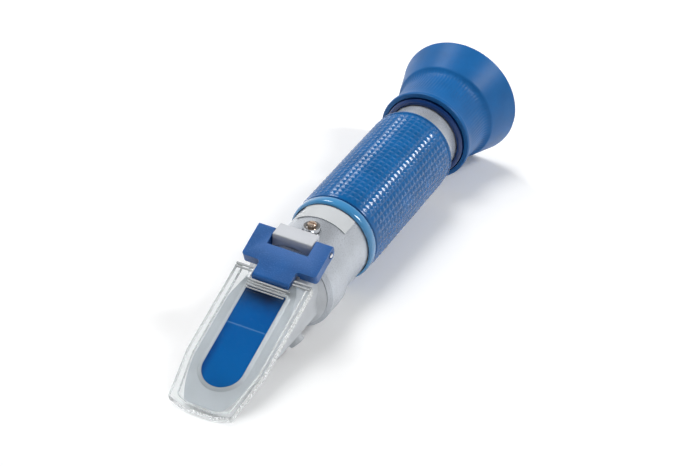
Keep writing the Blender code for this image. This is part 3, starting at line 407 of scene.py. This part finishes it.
# A painted pale reflection line across the prism: where it starts and ends down the slope, its colour and its
# blur
PRISM_REFLECTION_LINE = (37.4, 37.8)
PRISM_REFLECTION_BLUE = (0.09, 0.24, 0.50)
PRISM_REFLECTION_BLUR = 0.05
PRISM_ROUGHNESS = (0.04, 0.10)
PRISM_CLOUD_SCALE = 160.0
PRISM_CLOUD_DETAIL = 3.0
PRISM_CLOUD = 0.25
POLISH_SCALE = 2500.0
POLISH_DETAIL = 4.0
POLISH_STRENGTH = 0.2
POLISH_DEPTH = 0.002


def add_band(tree, value, first, last, blur):
    """One between two values and zero outside them."""
    above = add_range(tree, value, 0.0, 1.0, first - blur, first)
    below = add_range(tree, value, 1.0, 0.0, last, last + blur)
    return add_math(tree, "MULTIPLY", above, below)


def make_prism_glass():
    """Deep blue that is darker along one side, with painted shade and a painted dark reflection toward the
    rear, and a painted pale reflection line across it.
    """
    material, tree, shader = start_material("prism_blue", PRISM_BLUE, 0.06,
                                            {"Coat Weight": 0.3, "Coat Roughness": 0.03, "IOR": 1.52})
    coordinates = add_coordinates(tree)
    parts = tree.nodes.new("ShaderNodeSeparateXYZ")
    tree.links.new(coordinates, parts.inputs["Vector"])
    side_start, side_end = PRISM_SIDE_RANGE
    across = add_range(tree, parts.outputs["X"], 0.0, 1.0, side_start * MM, side_end * MM)
    body = add_mix(tree, across, PRISM_SIDE, PRISM_BLUE)
    reach = add_dot(tree, coordinates, DOWN_SLOPE)
    start = slope_point(0, 0, 0)
    zero = -start.y * ALONG - start.z * DOWN
    # Paints the shade and the dark reflection toward the rear
    for first, last, colour in PRISM_PAINTED_SHADE_AND_REFLECTION:
        fade = add_range(tree, reach, 1.0, 0.0, zero + first * MM, zero + last * MM)
        body = add_mix(tree, fade, body, colour)
    # Paints the pale reflection line
    first, last = PRISM_REFLECTION_LINE
    reflection_line = add_band(tree, reach, zero + first * MM, zero + last * MM, PRISM_REFLECTION_BLUR * MM)
    body = add_mix(tree, reflection_line, body, PRISM_REFLECTION_BLUE)
    slow = add_noise(tree, coordinates, PRISM_CLOUD_SCALE, PRISM_CLOUD_DETAIL)
    body = add_mix(tree, add_range(tree, slow, 0.0, PRISM_CLOUD), body, PRISM_PALER)
    tree.links.new(body, shader.inputs["Base Color"])
    tree.links.new(add_range(tree, slow, *PRISM_ROUGHNESS), shader.inputs["Roughness"])
    polish = add_noise(tree, coordinates, POLISH_SCALE, POLISH_DETAIL)
    add_bump(tree, shader, polish, POLISH_STRENGTH, POLISH_DEPTH)
    return material


silver = make_finish("anodised_silver", (0.55, 0.585, 0.635), 0.30, metallic=0.50, grain=5200.0,
                     depth=0.010, tint=0.05, spread=0.06)
head_silver = make_finish("cast_silver", (0.62, 0.65, 0.685), 0.42, metallic=0.15, grain=4200.0,
                          depth=0.014, tint=0.06, spread=0.06)
lug_silver = make_finish("milled_silver", (0.60, 0.62, 0.66), 0.40, metallic=0.15, grain=3600.0,
                         depth=0.008, tint=0.05, stretch=(0.15, 1, 1))
pin_steel = make_finish("pin_steel_fine", (0.74, 0.75, 0.77), 0.2, metallic=1.0, grain=5000.0, depth=0.004,
                        tint=0.04)
screw_steel = make_finish("screw_steel_fine", (0.42, 0.43, 0.45), 0.3, metallic=1.0, grain=5000.0,
                          depth=0.006, tint=0.08)
chrome = make_finish("well_chrome", (0.80, 0.80, 0.80), 0.10, metallic=1.0, grain=2600.0, depth=0.004,
                     tint=0.04, spread=0.04)
brass = make_finish("screw_brass_fine", (0.78, 0.62, 0.50), 0.30, metallic=0.7, grain=3200.0, depth=0.006,
                    tint=0.14)
grip_blue = make_finish("grip_blue_moulded", (0.0040, 0.122, 0.365), 0.18, grain=6500.0, depth=0.003,
                        IOR=1.5)
cup_blue = make_finish("cup_blue_soft", (0.0070, 0.128, 0.385), 0.42, grain=5200.0, depth=0.008, tint=0.08,
                       spread=0.08, Specular_IOR_Level=0.3)
collar_blue = make_finish("collar_blue_gloss", (0.062, 0.285, 0.575), 0.16, grain=2600.0, depth=0.003,
                          tint=0.06, Coat_Weight=0.5, Coat_Roughness=0.06)
ring_blue = make_finish("ring_blue_gloss", (0.006, 0.040, 0.17), 0.22, grain=3600.0, depth=0.004)
# The holder's edge setting paints pale highlights along its edges
holder_blue = make_finish("holder_blue_satin", (0.0070, 0.100, 0.345), 0.36, grain=2600.0, depth=0.11,
                          tint=0.14, spread=0.10, edge=0.35, speckle=0.5, Specular_IOR_Level=0.45)
cap_black = make_finish("cap_black_satin", (0.02, 0.02, 0.026), 0.42, grain=5200.0, depth=0.008)
label_film = make_finish("label_film_satin", (0.63, 0.655, 0.675), 0.34, grain=4200.0, depth=0.004,
                         tint=0.03)
inner_black = make_finish("inner_black_matte", (0.022, 0.022, 0.025), 0.62, grain=6200.0, depth=0.014)
strip_bronze = make_finish("strip_bronze_rolled", (0.55, 0.36, 0.22), 0.34, metallic=1.0, grain=3600.0,
                           depth=0.006, stretch=(1, 0.1, 1))
clear_lens = make_glass("lens_glass_coated", (0.90, 0.96, 0.97), 0.01, 1.52, 0.001)
clear_plate = make_glass("plate_acrylic", (0.955, 0.975, 0.98), 0.02, 1.49, 0.003, milk=0.60)
# The ridges' pale, half-clear colour paints the highlights along them
ridge_painted_highlight = make_finish("plate_ridge_painted_highlight", (0.70, 0.725, 0.75), 0.22, grain=5200.0, depth=0.003,
                         tint=0.05, Transmission_Weight=0.35)
frame_silver = make_finish("window_frame_pale", (0.66, 0.69, 0.72), 0.45, metallic=0.1, grain=5200.0,
                           depth=0.008, tint=0.04)
prism_blue = make_prism_glass()

# CAD nodes that keep their own meshes
CARRIED = {
    "foot_screw_right": screw_steel,
    "foot_screw_left": screw_steel,
    "hinge_pin": pin_steel,
    "main_prism": prism_blue,
    "bimetal_strip": strip_bronze,
    "strip_clamp": screw_steel,
    "field_stop": inner_black,
    "reticle_ring": inner_black,
    "reticle_glass": clear_lens,
    "key_pin": screw_steel,
    "objective_carrier": inner_black,
    "objective_lens": clear_lens,
    "lens_barrel": cap_black,
    "field_lens": clear_lens,
    "lens_spacer": inner_black,
    "eye_lens": clear_lens,
    "lens_retainer": cap_black,
    "friction_ring": inner_black,
    "ring_cap": cap_black,
    "label_plate": label_film,
    "calibration_screw": brass,
    "screw_bush": chrome,
}


def dress_carried_nodes():
    for node, material in CARRIED.items():
        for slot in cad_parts[node].material_slots:
            slot.material = material


# Flat-sided nodes: the holder's notch is made deeper and the lug wider
NOTCH_REACH = 9.7
NOTCH_SHIFT = 0.9
NOTCH_HALF_WIDTH = 6.6
NOTCH_MARGIN = 0.1
LUG_SPREAD = 1.065


def deepen_notch(vertex):
    near = abs(reach_of(vertex.co) - NOTCH_REACH) < NOTCH_MARGIN
    if near and abs(vertex.co.x) < (NOTCH_HALF_WIDTH + NOTCH_MARGIN) * MM:
        vertex.co.y -= NOTCH_SHIFT * ALONG * MM
        vertex.co.z -= NOTCH_SHIFT * DOWN * MM


def widen_lug(vertex):
    vertex.co.x *= LUG_SPREAD


# Node, piece, body, slot, material, width and segments of its rounded edges, and change of its points
REFINED = (
    ("body_tube", "tube_anodised", "body", "tube_silver", silver, 0.12, 2, None),
    ("hinge_lug", "lug_milled", "body", "lug_silver", lug_silver, 0.0, 3, widen_lug),
    ("prism_head", "head_cast", "body", "head_silver", head_silver, 0.15, 2, None),
    ("cover_holder", "holder_moulded", "cover", "holder_blue", holder_blue, 0.40, 4, deepen_notch),
    ("daylight_plate", "plate_moulded", "cover", "plate_clear", clear_plate, 0.15, 2, None),
)


def refine_nodes():
    """Rounds the edges of the flat-sided nodes and gives them their finishes."""
    for node, name, body, slot, material, width, segments, change in REFINED:
        shape = refined(node, width, segments, change)
        add_piece(name, shape, body, material, (node,), sharp=CAST_EDGE, flats=True)


# Grip
GRIP_BORE = 12.9
GRIP_FRONT = 3.9
GRIP_REAR = 57.7
GRIP_STEP = 57.3
GRIP_STEP_BORE = 12.3
GRIP_RADIUS = 13.95
KNURL_START = 5.1
KNURL_PITCH = 2.13
KNURL_ROWS = 24
KNURL_COLUMNS = 44
KNURL_HEIGHT = 0.26
KNURL_CUTS = 8
KNURL_END = KNURL_START + KNURL_ROWS * KNURL_PITCH
KNURL_LOW = GRIP_RADIUS - KNURL_HEIGHT
KNURL_TOP_SHARE = 0.86
KNURL_FOOT_SHARE = 0.06
FADE_LENGTH = 3.0
FADE_DROP = 0.25

# Stations and radii round the grip's plain ends and bore, from its last row of points to its first
GRIP_ENDS = (
    (GRIP_REAR - 0.9, KNURL_LOW - 0.24),
    (GRIP_REAR - 0.75, KNURL_LOW - 0.02),
    (GRIP_REAR - 0.25, KNURL_LOW - 0.02),
    (GRIP_REAR, KNURL_LOW - 0.3),
    (GRIP_REAR, GRIP_STEP_BORE),
    (GRIP_STEP, GRIP_STEP_BORE),
    (GRIP_STEP, GRIP_BORE),
    (GRIP_FRONT, GRIP_BORE),
    (GRIP_FRONT, KNURL_LOW - 0.35),
    (GRIP_FRONT + 0.2, KNURL_LOW - 0.08),
    (GRIP_FRONT + 0.45, KNURL_LOW),
)


def knurl_offset(cut):
    """Where a cut lies in its four-sided point, from -1 to 1."""
    return 2 * ((cut / KNURL_CUTS) % 1.0) - 1


def knurl_height(u, v):
    """The share of a four-sided point's height at two offsets from its middle."""
    fall = max(abs(u), abs(v))
    top = KNURL_TOP_SHARE - KNURL_FOOT_SHARE
    return max(0.0, min(KNURL_TOP_SHARE, 1.0 - fall) - KNURL_FOOT_SHARE) / top


def add_knurl_row(shape, row):
    """One ring of the knurled skin, which sinks a little toward the grip's rear."""
    around = KNURL_COLUMNS * KNURL_CUTS
    station = KNURL_START + KNURL_PITCH * row / KNURL_CUTS
    fade = min(1.0, max(0.0, (KNURL_END - station) / FADE_LENGTH))
    drop = FADE_DROP * (1 - fade) ** 2
    v = knurl_offset(row)
    heights = [knurl_height(knurl_offset(column), v) for column in range(around)]
    return add_ring(shape, station, [KNURL_LOW + KNURL_HEIGHT * height - drop for height in heights])


def join_knurl_rows(shape, row, first, second):
    """The band between two rings, split along the slanting edges of the four-sided points."""
    front = row % KNURL_CUTS < KNURL_CUTS // 2
    for column in range(len(first)):
        after = (column + 1) % len(first)
        a, b = first[column], first[after]
        c, d = second[after], second[column]
        left = column % KNURL_CUTS < KNURL_CUTS // 2
        if left == front:
            shape.faces.new((a, b, c))
            shape.faces.new((a, c, d))
        else:
            shape.faces.new((a, b, d))
            shape.faces.new((b, c, d))


def make_grip():
    """The grip's sleeve with its rows of four-sided points."""
    shape = bmesh.new()
    rows = KNURL_ROWS * KNURL_CUTS
    grid = [add_knurl_row(shape, row) for row in range(rows + 1)]
    for row in range(rows):
        join_knurl_rows(shape, row, grid[row], grid[row + 1])
    last = grid[-1]
    for station, radius in GRIP_ENDS:
        ring = add_ring(shape, station, [radius] * len(last))
        join_rings(shape, last, ring)
        last = ring
    join_rings(shape, last, grid[0])
    bmesh.ops.recalc_face_normals(shape, faces=shape.faces)
    add_piece("grip_sleeve_knurled", shape, "body", grip_blue, ("rubber_grip",),
              sharp=KNURL_EDGE)


# Collar: its profile keeps its two corners at the bore
COLLAR_PROFILE = (
    (0.0, 12.9), (0.0, 13.15), (0.35, 13.55), (1.1, 13.8), (2.6, 13.8), (3.3, 13.62), (3.6, 13.3),
    (3.6, 12.9),
)
COLLAR_CORNERS = (0, 7)


def make_collar():
    shape = turned(eased(COLLAR_PROFILE, COLLAR_CORNERS), ROUND_STEPS)
    add_piece("grip_collar_gloss", shape, "body", collar_blue, ("grip_collar",))


# Eyecup
RIB_COUNT = 88
RIB_STEPS = 4
RIB_DEPTH = 0.12
RIB_FRONT = 73.5
RIB_REAR = 81.8
RIB_FLOOR = 14.5
EYECUP_PROFILE = (
    (66.7, 13.8), (66.7, 14.75), (66.85, 15.12), (67.2, 15.3), (68.1, 15.28), (68.6, 15.05), (69.0, 14.9),
    (71.0, 14.86), (73.5, 14.86), (75.5, 14.88), (77.5, 14.92), (79.5, 15.02), (80.8, 15.35), (81.6, 15.85),
    (82.1, 16.35), (82.35, 16.62), (82.9, 16.8), (84.0, 17.12), (86.0, 17.7), (88.0, 18.3), (90.0, 18.9),
    (92.0, 19.5), (93.2, 19.9), (93.5, 19.98), (93.7, 19.75), (93.7, 19.3), (93.55, 18.9), (93.2, 18.6),
    (91.5, 17.6), (89.5, 16.7), (87.6, 16.0), (85.5, 14.9), (84.0, 14.0), (83.0, 13.0), (82.6, 12.2),
    (82.5, 11.0), (82.5, 8.7), (82.2, 8.4), (81.4, 8.4), (81.1, 8.7), (81.1, 12.8), (80.8, 13.6),
    (80.4, 13.8),
)


def carve_ribs(shape):
    """Sinks fine grooves along the outside of the eyecup's sleeve."""
    for vertex in shape.verts:
        station = vertex.co.y / MM + CENTRE_Y
        x = vertex.co.x
        z = vertex.co.z - AXIS_HEIGHT * MM
        radius = math.hypot(x, z)
        if radius >= RIB_FLOOR * MM and RIB_FRONT < station <= RIB_REAR:
            wave = (1 - math.cos(RIB_COUNT * math.atan2(x, z))) / 2
            factor = 1 - RIB_DEPTH * MM * wave / radius
            vertex.co.x = x * factor
            vertex.co.z = z * factor + AXIS_HEIGHT * MM


def make_eyecup():
    shape = turned(EYECUP_PROFILE, RIB_COUNT * RIB_STEPS)
    carve_ribs(shape)
    add_piece("eyecup_moulded", shape, "focus", cup_blue, ("rubber_eyecup",),
              sharp=CAST_EDGE)


FOCUS_RING_PROFILE = (
    (65.2, 12.0), (65.2, 12.7), (65.35, 12.95), (65.8, 13.4), (66.05, 13.5), (66.15, 13.4), (66.2, 13.1),
    (66.8, 13.1), (66.85, 13.45), (67.0, 13.5), (78.5, 13.5), (78.5, 12.7), (76.2, 12.7), (76.2, 12.0),
    (70.4, 12.0), (70.4, 12.6), (69.0, 12.6), (69.0, 12.0),
)


def make_focus_ring():
    shape = turned(FOCUS_RING_PROFILE, ROUND_STEPS)
    add_piece("focus_ring_polished", shape, "focus", ring_blue, ("focus_ring",))


# Prism window
WINDOW_HALF_WIDTH = 6.0
WINDOW_REAR = 24.6
WINDOW_FRONT = 57.8
WINDOW_DROP = 2.46
WINDOW_SPREAD = 0.24
WINDOW_STEPS = 28
CORNER_STEPS = 4
FACE_DROP = 3.1
FRAME_WIDTH = 1.2
FRAME_INNER = WINDOW_SPREAD + 0.02
FRAME_OUTER = FRAME_INNER + FRAME_WIDTH

# Loops round the window from its foot up, then round its frame: spread, drop and radius of the corners
WINDOW_LOOPS = (
    (-0.25, 7.0, 0.5),
    (-0.05, 3.6, 0.5),
    (WINDOW_SPREAD, WINDOW_DROP + 0.45, 0.7),
    (WINDOW_SPREAD, WINDOW_DROP + 0.12, 0.7),
    (WINDOW_SPREAD - 0.04, WINDOW_DROP + 0.03, 0.7),
    (WINDOW_SPREAD - 0.12, WINDOW_DROP, 0.7),
)
FRAME_LOOPS = (
    (FRAME_INNER, FACE_DROP + 0.9, 0.7),
    (FRAME_INNER, WINDOW_DROP + 0.22, 0.7),
    (FRAME_INNER + 0.10, WINDOW_DROP + 0.14, 0.8),
    (FRAME_INNER + 0.35, WINDOW_DROP + 0.20, 1.0),
    (FRAME_OUTER - 0.12, FACE_DROP - 0.12, 1.5),
    (FRAME_OUTER, FACE_DROP, 1.6),
    (FRAME_OUTER, FACE_DROP + 0.9, 1.6),
)


def window_loop(spread, drop, corner):
    """Points round the prism's window at one drop, drawn out by a spread: square behind, round in front."""
    half = WINDOW_HALF_WIDTH + spread
    rear = WINDOW_REAR - spread
    points = []
    for side, start in ((1, 0.0), (-1, QUARTER_TURN)):
        for step in range(CORNER_STEPS + 1):
            angle = start + QUARTER_TURN * step / CORNER_STEPS
            x = side * (half - corner) + corner * math.cos(angle)
            points.append(slope_point(x, rear + corner - corner * math.sin(angle), drop))
    centre = WINDOW_FRONT - WINDOW_HALF_WIDTH
    for step in range(WINDOW_STEPS + 1):
        angle = math.pi * (1 + step / WINDOW_STEPS)
        points.append(slope_point(half * math.cos(angle), centre - half * math.sin(angle), drop))
    return points


def make_window():
    """The prism's polished window and the pale frame that seals it into the head."""
    window = stacked([window_loop(*row) for row in WINDOW_LOOPS], filled=True)
    add_piece("prism_window", window, "body", prism_blue, sharp=GLASS_EDGE)
    seal = stacked([window_loop(*row) for row in FRAME_LOOPS], filled=False)
    add_piece("window_frame", seal, "body", frame_silver, ("prism_seal",), sharp=CAST_EDGE)


# Ridges moulded on the clear plate: reach, half width and height of those on its ears and below the tongue
EAR_SIDES = (6.5, 12.1)
EAR_RIDGES = (
    (19.35, 0.40, 0.30),
    (20.45, 0.34, 0.22),
)
MIDDLE_SIDE = 6.3
MIDDLE_RIDGES = (
    (23.15, 0.34, 0.26),
    (24.05, 0.30, 0.20),
    (24.95, 0.30, 0.20),
    (25.80, 0.24, 0.14),
)
RIDGE_SEAT_DROP = 0.64
RIDGE_END = 0.12
RIDGE_SHARES = (-1.0, -0.8, -0.45, 0.0, 0.45, 0.8, 1.0)


def add_ridge(shape, left, right, middle, half, height):
    """A low bar across the slope with a rounded top."""
    top = []
    for share in RIDGE_SHARES:
        reach = middle + half * share
        drop = RIDGE_SEAT_DROP - height * math.sqrt(1 - share * share)
        inset = RIDGE_END * share * share
        ends = (slope_point(left + inset, reach, drop), slope_point(right - inset, reach, drop))
        top.append([shape.verts.new(point) for point in ends])
    for first, second in zip(top, top[1:]):
        shape.faces.new((first[0], first[1], second[1], second[0]))
    shape.faces.new([pair[0] for pair in top])
    shape.faces.new([pair[1] for pair in reversed(top)])
    shape.faces.new((top[0][0], top[-1][0], top[-1][1], top[0][1]))


def make_ridges():
    """The bars across the plate beside and below the holder's tongue, in a pale colour that paints their
    highlights.
    """
    shape = bmesh.new()
    inner, outer = EAR_SIDES
    for left, right in ((-outer, -inner), (inner, outer)):
        for ridge in EAR_RIDGES:
            add_ridge(shape, left, right, *ridge)
    for ridge in MIDDLE_RIDGES:
        add_ridge(shape, -MIDDLE_SIDE, MIDDLE_SIDE, *ridge)
    bmesh.ops.recalc_face_normals(shape, faces=shape.faces)
    add_piece("plate_ridges", shape, "cover", ridge_painted_highlight, sharp=GLASS_EDGE)


SEAM_PROFILE = ((-26.79, 11.9), (-26.79, 12.42), (-26.61, 12.42), (-26.61, 11.9))


def make_seam():
    """The dark joint between the tube's nose ring and the head's flange."""
    add_piece("seam_line", turned(SEAM_PROFILE, ROUND_STEPS), "body", inner_black)


# Floor, sized in metres: tilted, since the instrument lies on its eyecup's rim and the tube's nose ring
FLOOR_TILT = math.radians(2.93)
FLOOR_HALF = 6.0
FLOOR_GREY = 0.94
FLOOR_LIFT = 0.14
FLOOR_GAP = 0.0001


def make_floor_material():
    """White that is lifted where it is seen or mirrored, and that keeps its shadows."""
    material, tree, shader = start_material("floor_white", (FLOOR_GREY,) * 3, 0.9,
                                            {"Specular IOR Level": 0.0, "Emission Color": (1, 1, 1, 1)})
    path = tree.nodes.new("ShaderNodeLightPath")
    seen = add_math(tree, "MAXIMUM", path.outputs["Is Camera Ray"], add_mirror_rays(tree, path))
    tree.links.new(add_math(tree, "MULTIPLY", seen, FLOOR_LIFT), shader.inputs["Emission Strength"])
    return material


def make_floor():
    mesh = bpy.data.meshes.new("floor")
    signs = ((-1, -1), (1, -1), (1, 1), (-1, 1))
    corners = [(x * FLOOR_HALF, y * FLOOR_HALF, 0) for x, y in signs]
    mesh.from_pydata(corners, [], [(0, 1, 2, 3)])
    floor = bpy.data.objects.new("floor", mesh)
    bpy.context.scene.collection.objects.link(floor)
    mesh.materials.append(make_floor_material())
    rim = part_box("rubber_eyecup")[1].y
    lean = Matrix.Rotation(-FLOOR_TILT, 4, "X")
    floor.matrix_world = Matrix.Translation((0, rim, -FLOOR_GAP)) @ lean


# World: its light on the object, and what a mirror sees near the horizon and overhead
WORLD_LIGHT = 0.22
WORLD_RIM = 0.95
WORLD_TOP = 0.05
WORLD_RANGE = (0.05, 0.70)


def make_world():
    """A plain light that is dark overhead where a clear or shiny surface shows it, as under a dim ceiling."""
    world = bpy.data.worlds.new("studio")
    bpy.context.scene.world = world
    world.use_nodes = True
    tree = world.node_tree
    shader = tree.nodes["Background"]
    shader.inputs["Color"].default_value = (1, 1, 1, 1)
    path = tree.nodes.new("ShaderNodeLightPath")
    parts = tree.nodes.new("ShaderNodeSeparateXYZ")
    tree.links.new(add_coordinates(tree, "Generated"), parts.inputs["Vector"])
    shown = add_range(tree, parts.outputs["Z"], WORLD_RIM, WORLD_TOP, *WORLD_RANGE)
    direct = add_range(tree, path.outputs["Diffuse Depth"], 1.0, 0.0, 0.0, 1.0)
    mirrored = add_math(tree, "MULTIPLY", add_mirror_rays(tree, path), direct)
    mirror = tree.nodes.new("ShaderNodeMix")
    mirror.inputs["A"].default_value = WORLD_LIGHT
    tree.links.new(shown, mirror.inputs["B"])
    tree.links.new(mirrored, mirror.inputs["Factor"])
    strength = tree.nodes.new("ShaderNodeMix")
    strength.inputs["B"].default_value = 1.0
    tree.links.new(mirror.outputs["Result"], strength.inputs["A"])
    tree.links.new(path.outputs["Is Camera Ray"], strength.inputs["Factor"])
    tree.links.new(strength.outputs["Result"], shader.inputs["Strength"])


# Lamps: direction, distance, width and height in metres, power in watts, and whether mirrors show them
LAMPS = (
    ("lamp_key", (-0.24, 0.12, 0.963), 1.0, 0.40, 0.40, 4.6, False),
    ("lamp_right", (0.600, 0.359, 0.712), 0.9, 0.12, 0.24, 2.6, True),
    ("lamp_left", (-0.520, 0.416, 0.745), 0.9, 0.20, 0.28, 1.6, True),
)


def make_lamps():
    for name, direction, distance, width, height, power, mirrored in LAMPS:
        light = bpy.data.lights.new(name, "AREA")
        light.shape = "RECTANGLE"
        light.size = width
        light.size_y = height
        light.energy = power
        lamp = bpy.data.objects.new(name, light)
        bpy.context.scene.collection.objects.link(lamp)
        way = Vector(direction).normalized()
        lamp.location = way * distance
        lamp.rotation_euler = way.to_track_quat("Z", "Y").to_euler()
        lamp.visible_glossy = mirrored
        lamp.visible_transmission = mirrored


# Camera, set to the photograph's view of the axis frame
CAMERA_TURN = math.radians(24.486)
CAMERA_RISE = math.radians(35.358)
CAMERA_ROLL = math.radians(3.344)
CAMERA_DISTANCE = 736.3
CAMERA_RIGHT = 5.927
CAMERA_UP = 2.529
CAMERA_LENS = 126.72
SENSOR_WIDTH = 36.0
CLIP_START = 0.01


def make_camera():
    level = math.cos(CAMERA_RISE)
    back = Vector((math.sin(CAMERA_TURN) * level, -math.cos(CAMERA_TURN) * level, math.sin(CAMERA_RISE)))
    flat_right = Vector((math.cos(CAMERA_TURN), math.sin(CAMERA_TURN), 0))
    flat_up = back.cross(flat_right)
    right = flat_right * math.cos(CAMERA_ROLL) + flat_up * math.sin(CAMERA_ROLL)
    up = flat_up * math.cos(CAMERA_ROLL) - flat_right * math.sin(CAMERA_ROLL)
    data = bpy.data.cameras.new("camera")
    data.lens = CAMERA_LENS
    data.sensor_width = SENSOR_WIDTH
    data.sensor_fit = "HORIZONTAL"
    data.clip_start = CLIP_START
    camera = bpy.data.objects.new("camera", data)
    bpy.context.scene.collection.objects.link(camera)
    point = back * CAMERA_DISTANCE + right * CAMERA_RIGHT + up * CAMERA_UP
    turn = Matrix((right, up, back)).transposed().to_4x4()
    camera.matrix_world = Matrix.Translation(place(*point)) @ turn
    bpy.context.scene.camera = camera


def build():
    bpy.context.scene.view_settings.view_transform = "Standard"
    make_camera()
    make_world()
    make_lamps()
    make_floor()
    dress_carried_nodes()
    refine_nodes()
    make_grip()
    make_collar()
    make_eyecup()
    make_focus_ring()
    make_window()
    make_ridges()
    make_seam()


build()
